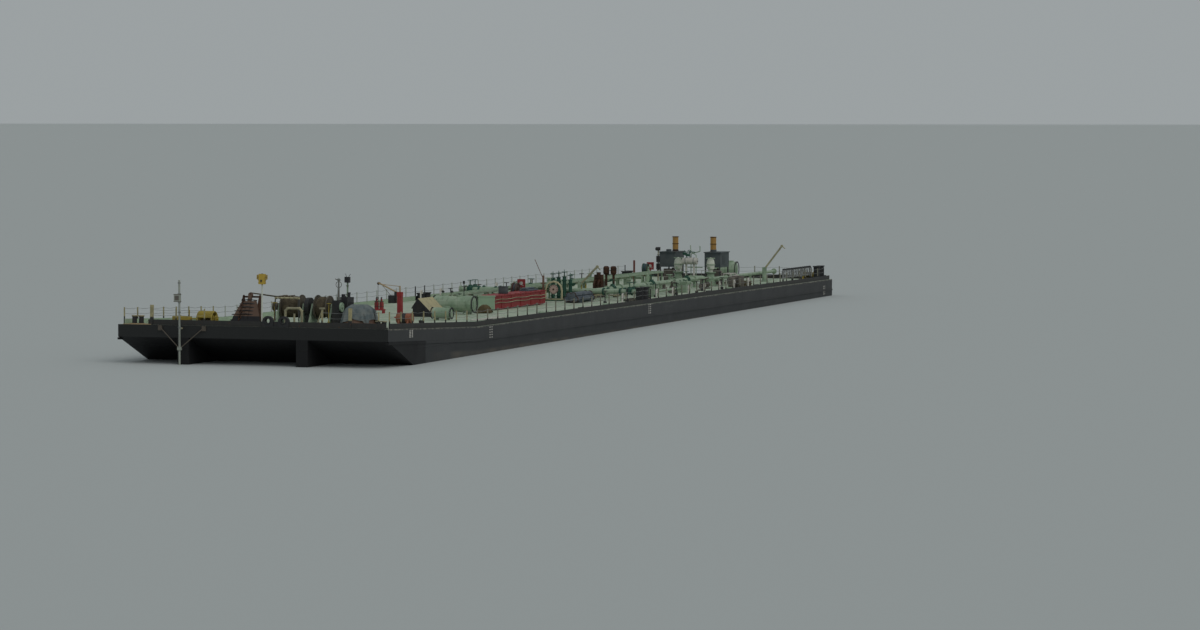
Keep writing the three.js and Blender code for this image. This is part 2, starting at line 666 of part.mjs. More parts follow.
function crossTank({ x, y0, y1, radius, lift, vents }) {
  const z = radius + lift;
  const [wide, narrow] = [radius * 0.75, radius * 0.6];
  const saddles = [y0 + wide, y1 - wide].map((y) => profileAcross(
    [[x - wide, 0], [x + wide, 0], [x + narrow, z * 0.75], [x - narrow, z * 0.75]],
    [y - 0.06, y + 0.06],
  ));
  const bulge = 0.1;
  const middle = (y0 + y1) / 2;
  const half = (y1 - y0) / 2;
  const shell = turned(
    [[0, -half], [radius * 0.7, -half + bulge * 0.3], [radius, -half + bulge], [radius, half - bulge],
      [radius * 0.7, half - bulge * 0.3], [0, half]],
    [x, middle, z], 'y', 16,
  );
  const pipes = vents.map((y) => rod([x, y, z], [x, y, z + radius + 0.25], 0.07));
  const manhole = rod([x, middle + 0.35, z], [x, middle + 0.35, z + radius + 0.07], radius * 0.45, 12);
  return join(shell, saddles, pipes, manhole);
}

// The long red locker, with the forward hose reel's stand bolted to its starboard side
function redLocker() {
  const [x0, x1, y0, y1, high] = [-42.9, -33.3, 0.9, 2.0, 0.92];
  const ribs = [-41.9, -40.1, -38.2, -36.4, -34.6].map((x) => block(
    [x - 0.04, x + 0.04],
    [y0 - 0.03, y1 + 0.03],
    [0, high],
  ));
  const bracket = block([REELS.fore.x - 0.2, REELS.fore.x + 0.2], [REELS.fore.y, y0 + 0.1], [0, 0.12]);
  return join(
    block([x0, x1], [y0, y1], [0.06, high]),
    block([x0 - 0.03, x1 + 0.03], [y0 - 0.04, y1 + 0.04], [high - 0.06, high + 0.02]),
    ribs,
    bracket,
    reelStand(REELS.fore),
  );
}

// Catwalk over the pipes along the centre line
const CATWALK = { x0: -74, x1: -33, y0: -0.95, y1: 0.12, high: 1.1 };

function catwalk() {
  const { x0, x1, y0, y1, high } = CATWALK;
  const bays = 11;
  const span = (x1 - x0 - 0.3) / bays;
  const frames = Array.from({ length: bays + 1 }, (_, i) => {
    const x = x0 + 0.15 + i * span;
    return [y0 + 0.1, y1 - 0.1].map((y) => block(
      [x - 0.05, x + 0.05],
      [y - 0.05, y + 0.05],
      [0, high - 0.03],
    ));
  });
  return join(
    block([x0, x1], [y0, y1], [high - 0.12, high]),
    frames.flat(),
  );
}

// Cargo pipework: the crossing manifold, a port and a starboard run, and the mains between them
const PIPE = { crossX: -49.3, crossZ: 0.62, radius: 0.16, portY: 3.0, starboardY: -3.0, aftX: -74.6 };
const STERN_LINE = { fromX: -73.4, y: 4.1, toX: -89.4, radius: 0.12, stands: [-76, -80, -83, -87] };

function cargoPipes() {
  const { crossX, crossZ, radius, portY, starboardY, aftX } = PIPE;
  const crossings = [crossX, crossX - 0.9].map((x) => rod([x, -6.4, crossZ], [x, 6.4, crossZ], radius));
  const flanges = [0, -0.9].flatMap((dx) => [-6.4, 6.4].map((y) => {
    const end = y + Math.sign(y) * 0.08;
    return rod([crossX + dx, Math.min(y, end), crossZ], [crossX + dx, Math.max(y, end), crossZ], 0.26, 12);
  }));
  const runs = [portY, starboardY].map((y) => rod([crossX, y, crossZ], [aftX, y, crossZ], radius));
  const main = rod([crossX, -1.7, crossZ], [-34, -1.7, crossZ], radius);
  const stands = [
    ...[-52.5, -56.5, -60.5, -64.5, -68.5, -72.5].flatMap((x) => [[x, portY], [x, starboardY]]),
    ...[-36, -40, -44, -47].map((x) => [x, -1.7]),
    ...[-5.2, 5.2].map((y) => [crossX, y]),
  ].map(([x, y]) => block([x - 0.09, x + 0.09], [y - 0.09, y + 0.09], [0, crossZ]));
  const risers = [-57.5, -66.5].flatMap((x) => [portY, starboardY].map((y) => join(
    rod([x, y, crossZ], [x, y, 1.15], 0.09),
    rod([x, y, 1.1], [x, y, 1.16], 0.24, 12),
  )));
  const ends = [portY, starboardY].map((y) => join(
    rod([aftX, y, crossZ], [aftX, y - Math.sign(y) * 1.2, crossZ], radius),
    block([aftX - 0.14, aftX + 0.14], [y - 0.17, y + 0.17], [0, crossZ]),
  ));
  return join(crossings, flanges, runs, main, stands, risers, ends, sternLine());
}

// A smaller line from the port run to the stern, ending in a flange
function sternLine() {
  const { fromX, toX, y, radius, stands } = STERN_LINE;
  const z = PIPE.crossZ;
  return join(
    pipe([[fromX, PIPE.portY, z], [fromX, y, z], [toX, y, z]], radius),
    rod([toX - 0.08, y, z], [toX, y, z], 0.22, 12),
    stands.map((x) => block([x - 0.08, x + 0.08], [y - 0.08, y + 0.08], [0, z])),
  );
}

// Manifold valves on a common sill, with their hand wheels
const VALVES = [
  { y: 0.45, high: 1.8 },
  { y: 0.86, high: 1.86 },
  { y: 1.27, high: 1.94 },
  { y: 1.7, high: 1.72 },
];

function manifoldValves() {
  const x = PIPE.crossX + 0.55;
  const columns = VALVES.map(({ y, high }) => join(
    rod([x, y, 0.1], [x, y, high - 0.32], 0.13),
    rod([x, y, high - 0.34], [x, y, high], 0.035, 6),
    rod([x, y, high - 0.05], [x, y, high], 0.18, 12),
  ));
  return join(block([x - 0.22, x + 0.22], [0.2, 1.95], [0, 0.14]), columns, vapourArch(x + 1.1, x));
}

// Vapour connection: a bowed pipe over a blind flange, its sill running aft to the valves
function vapourArch(x, valveX) {
  const middle = 0.9;
  const bow = arcPoints(middle, 0.72, 0.58, 180, 0, 6).map(([y, z]) => [x, y, z]);
  return join(
    pipe([[x, bow[0][1], 0], ...bow, [x, bow[6][1], 0]], 0.06, 6),
    block([x - 0.12, x + 0.12], [0.22, 1.58], [0, 0.06]),
    block([valveX, x], [middle - 0.12, middle + 0.12], [0, 0.06]),
    rod([x, middle, 0.04], [x, middle, 0.7], 0.08),
    rod([x - 0.1, middle, 0.78], [x + 0.08, middle, 0.78], 0.3, 14),
  );
}

// Lengths of cargo hose strapped in a rack
function hoseRack() {
  const [x0, x1] = [-48.3, -44.9];
  const hoses = [[2.78, 0.26], [3.1, 0.26], [3.42, 0.26], [2.94, 0.52], [3.26, 0.52]];
  const tubes = hoses.map(([y, z]) => rod([x0, y, z], [x1, y, z], 0.17, 8));
  const bars = [-47.6, -45.6].map((x) => block([x - 0.08, x + 0.08], [2.5, 3.7], [0, 0.14]));
  const hoops = [-47.6, -45.6].map((x) => join(
    block([x - 0.04, x + 0.04], [2.5, 2.56], [0, 0.6]),
    block([x - 0.04, x + 0.04], [3.64, 3.7], [0, 0.6]),
  ));
  return join(tubes, bars, hoops);
}

// Hose reels in plate stands, each with a square notice board behind it
const REEL = { shaft: 0.05, bore: 0.0545, cheekOut: 0.22, drumHalf: 0.14 };
const REELS = {
  fore: { x: -41.2, y: 0.52, axisZ: 1.02, radius: 0.44 },
  aft: { x: -75.4, y: -1.75, axisZ: 1.24, radius: 0.37 },
};
const BOARD = { back: 1.15, half: 0.27, low: 1.1, high: 1.66 };

function reelStand({ x, y, axisZ }) {
  const { bore, cheekOut } = REEL;
  const cheeks = [-cheekOut, cheekOut].map((side) => profileAcross(
    [[x - 0.4, 0.04], [x + 0.4, 0.04], [x + 0.08, axisZ + 0.12], [x - 0.08, axisZ + 0.12]],
    [y + side - 0.025, y + side + 0.025],
  ));
  const sillHalf = cheekOut + 0.05;
  const sill = block([x - BOARD.back - 0.15, x + 0.45], [y - sillHalf, y + sillHalf], [0, 0.06]);
  const boardX = x - BOARD.back;
  const axle = rod([x, y - 1, axisZ], [x, y + 1, axisZ], bore, SHAFT_SIDES);
  return join(
    join(sill, cheeks).subtract(axle),
    block([boardX - 0.04, boardX + 0.04], [y - 0.04, y + 0.04], [0, 1.2]),
    block([boardX - 0.02, boardX + 0.06], [y - BOARD.half, y + BOARD.half], [BOARD.low, BOARD.high]),
  );
}

// The after stand carries a tall marker post on its forward end
function aftReelStand() {
  const { x, y } = REELS.aft;
  const [postX, postY, half] = [x + 1.6, y - 0.36, 0.06];
  return join(
    reelStand(REELS.aft),
    block([x + 0.3, postX + 0.1], [y - 0.1, y + 0.1], [0, 0.06]),
    block([postX - 0.1, postX + 0.1], [postY - 0.1, y + 0.1], [0, 0.06]),
    block([postX - half, postX + half], [postY - half, postY + half], [0, 1.88]),
  );
}

function reelDrum({ x, y, axisZ, radius }) {
  const { shaft, cheekOut, drumHalf } = REEL;
  const at = (offset) => [x, y + offset, axisZ];
  return join(
    rod(at(-cheekOut - 0.03), at(cheekOut + 0.03), shaft, SHAFT_SIDES),
    rod(at(-drumHalf), at(drumHalf), radius * 0.8, 16),
    [-drumHalf, drumHalf - 0.04].map((side) => rod(at(side), at(side + 0.04), radius, 16)),
  );
}

// Hose cranes: a slewing post on a foot disc, with a luffing boom between its cheeks
const CRANE = { pinZ: 0.95, pin: 0.045, pinHole: 0.0495, cheekIn: 0.08, cheekOut: 0.13, postTop: 0.78 };
const CRANES = [
  { name: 'mid_crane', x: -51.9, y: 1.3, reach: 1.85, rise: 45 },
  { name: 'aft_crane', x: -84.8, y: 4.7, reach: 2.35, rise: 52 },
];

function craneMast() {
  const { pinZ, pin, cheekIn, cheekOut, postTop } = CRANE;
  const cheeks = [-1, 1].map((hand) => block(
    [Math.min(hand * cheekIn, hand * cheekOut), Math.max(hand * cheekIn, hand * cheekOut)],
    [-0.14, 0.14],
    [postTop - 0.1, pinZ + 0.14],
  ));
  return join(
    rod([0, 0, 0], [0, 0, 0.07], 0.32, 12),
    rod([0, 0, 0.05], [0, 0, postTop], 0.17, 12),
    cheeks,
    rod([-cheekOut, 0, pinZ], [cheekOut, 0, pinZ], pin, SHAFT_SIDES),
  );
}

// The boom lies along y from its pin at the origin
function craneBoom(reach) {
  const foot = rod([-0.06, 0, 0], [0.06, 0, 0], 0.1, 12);
  const spar = join(foot, block([-0.055, 0.055], [0, reach - 0.1], [-0.06, 0.06]));
  return join(
    spar.subtract(rod([-1, 0, 0], [1, 0, 0], CRANE.pinHole, SHAFT_SIDES)),
    rod([-0.06, reach - 0.1, 0], [0.06, reach - 0.1, 0], 0.1, 12),
    block([-0.03, 0.03], [reach - 0.13, reach - 0.07], [-0.32, 0]),
  );
}

// Stripping pump: a cabinet with two bent suction pipes
function strippingPump() {
  const [x, y] = [-54.3, 1.82];
  const suctions = [-0.15, 0.15].map((side) => pipe([
    [x, y + side, 1.15], [x + 0.42, y + side, 1.12], [x + 0.62, y + side, 0.9], [x + 0.62, y + side, 0.04],
  ], 0.07, 6));
  return join(
    block([x - 0.26, x + 0.22], [y - 0.26, y + 0.26], [0, 1.55]),
    block([x - 0.3, x + 0.8], [y - 0.3, y + 0.3], [0, 0.07]),
    suctions,
  );
}

// Two pressure and vacuum vents on one header
function ventHeads() {
  const x = -58.6;
  const head = [[0, 0], [0.1, 0], [0.21, 0.14], [0.22, 0.5], [0.15, 0.62], [0, 0.64]];
  const vents = [0.9, 1.44].map((y) => join(
    rod([x, y, 0.3], [x, y, 1.4], 0.09),
    turned(head, [x, y, 1.36], 'z', 12),
  ));
  return join(
    rod([x, 0.62, 0.34], [x, 1.72, 0.34], 0.13),
    [0.76, 1.58].map((y) => block([x - 0.09, x + 0.09], [y - 0.09, y + 0.09], [0, 0.34])),
    vents,
  );
}

// Tank hatches: on each side square trunks joined by the vapour header, each with a hinged lid
const HATCH = {
  outY: 4.75, half: 0.5, high: 0.72, wall: 0.06, lidThick: 0.06, lidOver: 0.05, headerZ: 0.3,
};
const HATCH_ROWS = [-56.5, -64.0];

function hatchTrunks(hand) {
  const y = hand * HATCH.outY;
  const { half, high, wall } = HATCH;
  const header = rod([HATCH_ROWS[0], y, HATCH.headerZ], [HATCH_ROWS[1], y, HATCH.headerZ], 0.08);
  const trunks = HATCH_ROWS.map((x) => block([x - half, x + half], [y - half, y + half], [0, high]));
  const rimHalf = half + 0.04;
  const rims = HATCH_ROWS.map((x) => block(
    [x - rimHalf, x + rimHalf],
    [y - rimHalf, y + rimHalf],
    [high - 0.08, high],
  ));
  const wells = HATCH_ROWS.map((x) => block(
    [x - half + wall, x + half - wall],
    [y - half + wall, y + half - wall],
    [0.06, high + 1],
  ));
  return wells.reduce((left, well) => left.subtract(well), join(header, trunks, rims));
}

// A lid hinged on the x line at its origin, lying towards +y
function hatchLid() {
  const reach = 2 * (HATCH.half + HATCH.lidOver);
  const half = HATCH.half + HATCH.lidOver;
  return join(
    block([-half, half], [0, reach], [-HATCH.lidThick / 2, HATCH.lidThick / 2]),
    rod([-half + 0.15, 0, 0], [half - 0.15, 0, 0], HATCH.lidThick / 2, 8),
    block([-0.1, 0.1], [reach - 0.2, reach - 0.14], [0, 0.12]),
    rod([0, reach / 2, 0], [0, reach / 2, 0.08], 0.16, 12),
  );
}

// Deep-well pump heads on conical stools
function pump(x, y) {
  return turned(
    [[0, 0], [0.5, 0], [0.5, 0.06], [0.42, 0.08], [0.26, 0.86], [0.32, 0.88], [0.32, 0.94], [0.17, 0.96],
      [0.17, 1.16], [0.29, 1.22], [0.31, 1.62], [0.27, 1.86], [0.16, 2.02], [0, 2.08]],
    [x, y, 0], 'z', 12,
  );
}

// Receiver lying across the deck on a stool between the pumps
function airReceiver() {
  const [x, y0, y1, z, radius] = [-75.6, 1.12, 2.22, 1.82, 0.25];
  return join(
    rod([x, y0, z], [x, y1, z], radius, 14),
    [y0 + 0.25, y1 - 0.25].map((y) => block([x - 0.08, x + 0.08], [y - 0.06, y + 0.06], [0, z - 0.1])),
    block([x - 0.25, x + 0.25], [y0 + 0.1, y1 - 0.1], [0, 0.06]),
  );
}

// Pump engine houses: plate hoods on four legs over the engines, each with a stack and an after door
const HOUSE = {
  x0: -79.9, x1: -77.7, half: 0.6, low: 1.28, high: 2.4, wall: 0.05, leg: 0.09, eaves: 0.07,
  stackRadius: 0.22, stackHigh: 1.15,
};
const HOUSES = [
  { name: 'pump_house_1', y: -0.8, stackY: -0.5 },
  { name: 'pump_house_2', y: 2.75, stackY: 2.48 },
];
const HOUSE_DOORWAY = { half: 0.36, low: 1.4, high: 2.22 };
const HOUSE_DOOR = { thick: 0.05, lap: 0.05 };

function pumpHouse({ y, stackY }) {
  const { x0, x1, half, low, high, wall, leg, eaves, stackRadius, stackHigh } = HOUSE;
  const middle = (x0 + x1) / 2;
  const shell = block([x0, x1], [y - half, y + half], [low, high])
    .subtract(block([x0 + wall, x1 - wall], [y - half + wall, y + half - wall], [low - 1, high - wall]));
  const legs = [x0, x1 - leg].flatMap((x) => [y - half, y + half - leg].map(
    (legY) => block([x, x + leg], [legY, legY + leg], [0, low + 0.1]),
  ));
  const door = HOUSE_DOORWAY;
  const doorway = block([x0 - 1, x0 + 0.5], [y - door.half, y + door.half], [door.low, door.high]);
  const roofHalf = half + eaves;
  const roof = block([x0 - eaves, x1 + eaves], [y - roofHalf, y + roofHalf], [high - 0.04, high + 0.03]);
  const stackTop = high + stackHigh;
  const stack = rod([middle, stackY, high - 0.02], [middle, stackY, stackTop], stackRadius, 14);
  const flueRadius = stackRadius - 0.04;
  const flue = rod([middle, stackY, stackTop - 0.35], [middle, stackY, stackTop + 1], flueRadius, 14);
  const fan = rod([middle + 0.7, y, high], [middle + 0.7, y, high + 0.2], 0.2, 12);
  return join(shell.subtract(doorway), legs, roof, stack, fan).subtract(flue);
}

// The engine on its skid below the hood: crankcase, radiator and fuel tank
function pumpEngine({ y }) {
  return join(
    block([-79.7, -77.88], [y - 0.44, y + 0.44], [0, 0.16]),
    block([-79.2, -78.25], [y - 0.27, y + 0.27], [0.1, 0.98]),
    block([-78.3, -78.02], [y - 0.38, y + 0.38], [0.1, 1.14]),
    rod([-79.45, y - 0.36, 0.62], [-79.45, y + 0.36, 0.62], 0.2, 12),
    block([-79.52, -79.38], [y - 0.3, y + 0.3], [0.1, 0.6]),
    rod([-78.7, y + 0.12, 0.9], [-78.7, y + 0.12, 1.2], 0.07),
  );
}

// Steps over the stern line, from a platform down to the port deck
const STEPS = { x0: -78.3, x1: -77.0, inY: 3.8, outY: 4.35, footY: 5.3, high: 0.88, treads: 4 };

function steps() {
  const { x0, x1, inY, outY, footY, high, treads } = STEPS;
  const stringer = [
    [outY - 0.05, high - 0.16], [footY - 0.1, 0], [footY + 0.1, 0], [outY, high], [outY - 0.05, high],
  ];
  const stringers = [x0, x1 - 0.06].map((x) => profileAlong(stringer, [x, x + 0.06]));
  const steppers = Array.from({ length: treads }, (_, i) => {
    const z = (high * (i + 1)) / (treads + 1);
    const y = footY - ((footY - outY) * z) / high;
    return block([x0, x1], [y - 0.12, y + 0.12], [z - 0.02, z + 0.02]);
  });
  const platform = block([x0, x1], [inY, outY], [high - 0.06, high]);
  const legs = [x0, x1 - 0.07].map((x) => block([x, x + 0.07], [inY, inY + 0.07], [0, high]));
  return join(stringers, steppers, platform, legs);
}

// Rack of hanging wire loops along the port quarter
const WIRE_RACK = { x0: -89.0, x1: -81.6, y: 7.12, high: 1.1, posts: 4, loops: 12, loopRadius: 0.34 };

function wireRack() {
  const { x0, x1, y, high, posts, loops, loopRadius } = WIRE_RACK;
  const uprights = Array.from({ length: posts }, (_, i) => {
    const x = x0 + ((x1 - x0) * i) / (posts - 1);
    return join(
      block([x - 0.05, x + 0.05], [y - 0.05, y + 0.05], [0, high]),
      block([x - 0.1, x + 0.1], [y - 0.25, y + 0.25], [0, 0.05]),
    );
  });
  const rail = block([x0, x1], [y - 0.04, y + 0.04], [high - 0.08, high]);
  const rings = Array.from({ length: loops }, (_, i) => {
    const ring = new THREE.TorusGeometry(loopRadius, 0.05, 4, 8);
    ring.scale(0.62, 1, 1);
    ring.rotateX(Math.PI / 2);
    ring.rotateZ(Math.PI / 2 + 0.5);
    ring.translate(x0 + 0.3 + ((x1 - x0 - 0.6) * i) / (loops - 1), y + 0.03, high - loopRadius - 0.02);
    return solidOf(ring);
  });
  return join(uprights, rail, rings);
}

// After lamp mast with its two switch boxes
function aftMast() {
  const [x, y] = [-77.0, -1.28];
  return join(
    lampMast({ x, y, high: 2.78, lamp: { wide: 0.28, high: 0.26 } }),
    [[1.12, 1.55], [1.66, 2.12]].map((span) => block([x - 0.03, x + 0.12], [y - 0.12, y + 0.12], span)),
  );
}

// Fire extinguishers in a low rack to starboard
function extinguisherRack() {
  const [x, y] = [-27.2, -3.45];
  const bottle = [[0, 0], [0.14, 0], [0.14, 0.42], [0.06, 0.54], [0.06, 0.66], [0, 0.68]];
  return join(
    block([x - 0.2, x + 0.2], [y - 0.36, y + 0.36], [0.18, 0.26]),
    [-0.3, 0.3].map((side) => block([x - 0.17, x + 0.17], [y + side - 0.04, y + side + 0.04], [0, 0.2])),
    [-0.165, 0.165].map((side) => turned(bottle, [x, y + side, 0.24], 'z', 12)),
  );
}

// Assembly

addPiece(barge, 'hull', hull(), PAINT.hull);
addPiece(barge, 'port_deck_edge', sideRail(1), PAINT.cream);
addPiece(barge, 'starboard_deck_edge', sideRail(-1), PAINT.cream);

addPiece(foreDeck, 'bow_deck_edge', bowRail(), PAINT.black);
addPiece(foreDeck, 'anchor_rack', anchorRack(), PAINT.rust);
addPiece(foreDeck, 'anchor', anchor(), PAINT.rust);
addPiece(foreDeck, 'anchor_winch_frame', winchFrame(), PAINT.paleGreen);
ANCHOR_DRUMS.forEach((drum) => addPiece(foreDeck, drum.name, winchDrum(drum), PAINT.rope));
addPiece(foreDeck, 'rope_guides', ropeGuides(), PAINT.paleGreen);
addPiece(foreDeck, 'covered_heap', coveredPile(), PAINT.canvas);
addPiece(foreDeck, 'fore_lamp_mast', lampMast(FORE_MAST), PAINT.paleGreen);
addPiece(foreDeck, 'oil_drum', orangeDrum(), PAINT.orange);
addPiece(bowEdge, 'sounder_pole', sounderPole(), PAINT.cream);

HAND_WINCHES.forEach(({ name, deck, x, y, bedFrom, bedTo }) => {
  addPiece(deck, `${name}_frame`, handWinchFrame(x, y, bedFrom, bedTo), PAINT.mustard);
  addPiece(deck, `${name}_drum`, handWinchDrum(x, y), PAINT.mustard);
});

addPiece(mainDeck, 'stern_deck_edge', sternRail(), PAINT.black);
addPiece(mainDeck, 'davit_post', davitPost(), PAINT.red);
addPiece(mainDeck, 'davit_boom', davitBoom(), PAINT.black);
addPiece(mainDeck, 'booby_hatch', boobyHatch(), PAINT.paleGreen);
addPiece(mainDeck, 'extinguisher_rack', extinguisherRack(), PAINT.red);
TANKS.forEach((tank) => addPiece(mainDeck, tank.name, crossTank(tank), PAINT.paleGreen));
addPiece(mainDeck, 'brown_heap', brownHeap(), PAINT.canvas);
addPiece(mainDeck, 'red_locker', redLocker(), PAINT.red);
addPiece(mainDeck, 'catwalk', catwalk(), PAINT.paleGreen);
addPiece(mainDeck, 'cargo_pipes', cargoPipes(), PAINT.paleGreen);
addPiece(mainDeck, 'manifold_valves', manifoldValves(), PAINT.darkGreen);
addPiece(mainDeck, 'hose_rack', hoseRack(), PAINT.hose);
addPiece(mainDeck, 'reel_drum', reelDrum(REELS.fore), PAINT.red);
addPiece(mainDeck, 'aft_reel_stand', aftReelStand(), PAINT.red);
addPiece(mainDeck, 'aft_reel_drum', reelDrum(REELS.aft), PAINT.white);
addPiece(mainDeck, 'stripping_pump', strippingPump(), PAINT.rust);
addPiece(mainDeck, 'vent_heads', ventHeads(), PAINT.rust);
addPiece(mainDeck, 'pump_1', pump(-76.3, 0.52), PAINT.paleGreen);
addPiece(mainDeck, 'pump_2', pump(-76.3, 3.05), PAINT.paleGreen);
addPiece(mainDeck, 'air_receiver', airReceiver(), PAINT.white);
addPiece(mainDeck, 'steps', steps(), PAINT.white);
addPiece(mainDeck, 'wire_rack', wireRack(), PAINT.black);
addPiece(mainDeck, 'aft_lamp_mast', aftMast(), PAINT.cream);

// Hinged and slewing pieces stand in groups at their own hinge lines

function hingeGroup(parent, position, turn = [0, 0, 0]) {
  const group = new THREE.Group();
  group.position.set(...position);
  group.rotation.set(...turn);
  parent.add(group);
  return group;
}

const boobyHinge = [BOOBY.x1 + SEAT + BOOBY_DOOR.thick / 2, BOOBY.doorway.y - BOOBY_DOOR.wide / 2, 0];
addPiece(hingeGroup(mainDeck, boobyHinge), 'booby_hatch_door', doorLeaf(BOOBY_DOOR), PAINT.black);

HOUSES.forEach((house) => {
  addPiece(mainDeck, house.name, pumpHouse(house), PAINT.houseBlue);
  addPiece(mainDeck, `${house.name}_engine`, pumpEngine(house), PAINT.darkGreen);
  const { thick, lap } = HOUSE_DOOR;
  const leafHalf = HOUSE_DOORWAY.half + lap;
  const leaf = { wide: 2 * leafHalf, low: HOUSE_DOORWAY.low - lap, high: HOUSE_DOORWAY.high + lap, thick };
  const hinge = [HOUSE.x0 - SEAT - thick / 2, house.y + leafHalf, 0];
  const doorGroup = hingeGroup(mainDeck, hinge, [0, 0, Math.PI]);
  addPiece(doorGroup, `${house.name}_door`, doorLeaf(leaf), PAINT.houseBlue);
});

const SIDES = [['port', 1], ['starboard', -1]];
SIDES.forEach(([side, hand]) => {
  addPiece(mainDeck, `${side}_tank_hatches`, hatchTrunks(hand), PAINT.paleGreen);
  HATCH_ROWS.forEach((x, row) => {
    const inboardY = hand * (HATCH.outY - HATCH.half - HATCH.lidOver);
    const hinge = [x, inboardY, HATCH.high + SEAT + HATCH.lidThick / 2];
    const group = hingeGroup(mainDeck, hinge, [0, 0, hand > 0 ? 0 : Math.PI]);
    addPiece(group, `${side}_hatch_lid_${row + 1}`, hatchLid(), PAINT.paleGreen);
  });
});

CRANES.forEach(({ name, x, y, reach, rise }) => {
  addPiece(hingeGroup(mainDeck, [x, y, 0]), `${name}_mast`, craneMast(), PAINT.paleGreen);
  const luffed = hingeGroup(mainDeck, [x, y, CRANE.pinZ], [THREE.MathUtils.degToRad(rise), 0, 0]);
  addPiece(luffed, `${name}_boom`, craneBoom(reach), PAINT.cream);
});

export default barge;
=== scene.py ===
"""River tank barge, 1:10 scale model: finishes, fine parts, floor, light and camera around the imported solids.

Sizes of the barge's own pieces are in metres of the real barge, on three sets of axes. On each, x is minus
the distance aft of the bow, y is to port and z is upwards. MAIN stands on the level deck and FORE on the
sloping foredeck. BOW is level, with its zero at the top of the bow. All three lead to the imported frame.
"""

import itertools
import json
import math

import bmesh
import bpy
from mathutils import Matrix, Vector


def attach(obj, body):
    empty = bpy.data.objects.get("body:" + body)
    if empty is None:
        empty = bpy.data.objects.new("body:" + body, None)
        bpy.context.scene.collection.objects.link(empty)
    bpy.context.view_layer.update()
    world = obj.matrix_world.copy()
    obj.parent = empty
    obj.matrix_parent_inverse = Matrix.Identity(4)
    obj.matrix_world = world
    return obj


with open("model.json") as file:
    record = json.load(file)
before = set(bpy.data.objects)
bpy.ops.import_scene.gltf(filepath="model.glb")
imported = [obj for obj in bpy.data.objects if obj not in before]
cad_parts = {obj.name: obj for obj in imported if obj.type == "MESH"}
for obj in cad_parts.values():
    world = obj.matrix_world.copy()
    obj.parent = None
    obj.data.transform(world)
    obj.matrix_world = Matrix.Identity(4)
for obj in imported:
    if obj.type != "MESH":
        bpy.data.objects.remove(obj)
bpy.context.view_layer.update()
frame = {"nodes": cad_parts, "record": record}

MODEL_SCALE = 0.1
LENGTH = 91.4
DEPTH = 3.66
SHEER_LENGTH = 14.0
SHEER_RISE = 0.52
SEAT = 0.003
SHEER_ANGLE = math.atan2(SHEER_RISE, SHEER_LENGTH)
POST_SPACING = 1.71

TO_MODEL = Matrix.Scale(MODEL_SCALE, 4)
MAIN = TO_MODEL @ Matrix.Translation((LENGTH / 2, 0, DEPTH + SEAT))
FORE = (
    TO_MODEL
    @ Matrix.Translation((LENGTH / 2, 0, DEPTH + SHEER_RISE + SEAT))
    @ Matrix.Rotation(-SHEER_ANGLE, 4, "Y")
)
BOW = TO_MODEL @ Matrix.Translation((LENGTH / 2, 0, DEPTH + SHEER_RISE))
BARGE = "barge"


def deck_rise(x):
    """Height of the sloping foredeck above the level deck, on the main deck axes."""
    return max(0.0, x + SHEER_LENGTH) * SHEER_RISE / SHEER_LENGTH


# Node trees


def node(tree, kind, settings=None, **sockets):
    """A shader node with its settings, and its sockets set to numbers or linked to other sockets."""
    made = tree.nodes.new("ShaderNode" + kind)
    for name, value in (settings or {}).items():
        setattr(made, name, value)
    for name, value in sockets.items():
        socket = made.inputs[int(name[1:])] if name[1:].isdigit() else made.inputs[name.replace("_", " ")]
        if isinstance(value, bpy.types.NodeSocket):
            tree.links.new(value, socket)
        else:
            socket.default_value = value
    return made


def maths(tree, operation, a, b=0.0, clamp=False):
    """One step of arithmetic on sockets or numbers."""
    return node(tree, "Math", {"operation": operation, "use_clamp": clamp}, i0=a, i1=b).outputs[0]


def band(tree, value, low, high):
    """0 below low, 1 above high and smooth between; turned round where high is under low."""
    settings = {"interpolation_type": "SMOOTHSTEP", "clamp": True}
    if low < high:
        return node(tree, "MapRange", settings, Value=value, From_Min=low, From_Max=high).outputs[0]
    falling = node(tree, "MapRange", settings, Value=value, From_Min=high, From_Max=low).outputs[0]
    return maths(tree, "SUBTRACT", 1.0, falling)


def blend_colour(tree, share, first, second):
    """Two colours mixed by a share, each given as a value or as a socket."""
    made = tree.nodes.new("ShaderNodeMix")
    made.data_type = "RGBA"
    for socket, value in ((made.inputs[0], share), (made.inputs[6], first), (made.inputs[7], second)):
        if isinstance(value, bpy.types.NodeSocket):
            tree.links.new(value, socket)
        elif isinstance(value, tuple):
            socket.default_value = (*value, 1.0)
        else:
            socket.default_value = value
    return made.outputs[2]


def grain(tree, where, scale, stretch=(1, 1, 1), detail=5.0, rough=0.6):
    """Noise at a scale, finer along an axis where its stretch is over 1."""
    placed = node(tree, "Mapping", Vector=where, Scale=tuple(scale * s for s in stretch)).outputs[0]
    return node(tree, "TexNoise", Vector=placed, Scale=1.0, Detail=detail, Roughness=rough).outputs[0]


def bumped(tree, shader, height, strength, distance):
    """Gives the shader a bump from a height."""
    bump = node(tree, "Bump", Strength=strength, Distance=distance, Height=height)
    tree.links.new(bump.outputs[0], shader.inputs["Normal"])


def new_finish(name, specular=0.4):
    """A new material, with its node tree, its shader and its object coordinates."""
    material = bpy.data.materials.new(name)
    material.use_nodes = True
    tree = material.node_tree
    shader = tree.nodes["Principled BSDF"]
    shader.inputs["Specular IOR Level"].default_value = specular
    where = tree.nodes.new("ShaderNodeTexCoord").outputs["Object"]
    return material, tree, shader, where


GRIME = (0.055, 0.05, 0.04)
RUST = (0.115, 0.042, 0.018)
OLD_RUST = (0.05, 0.026, 0.018)


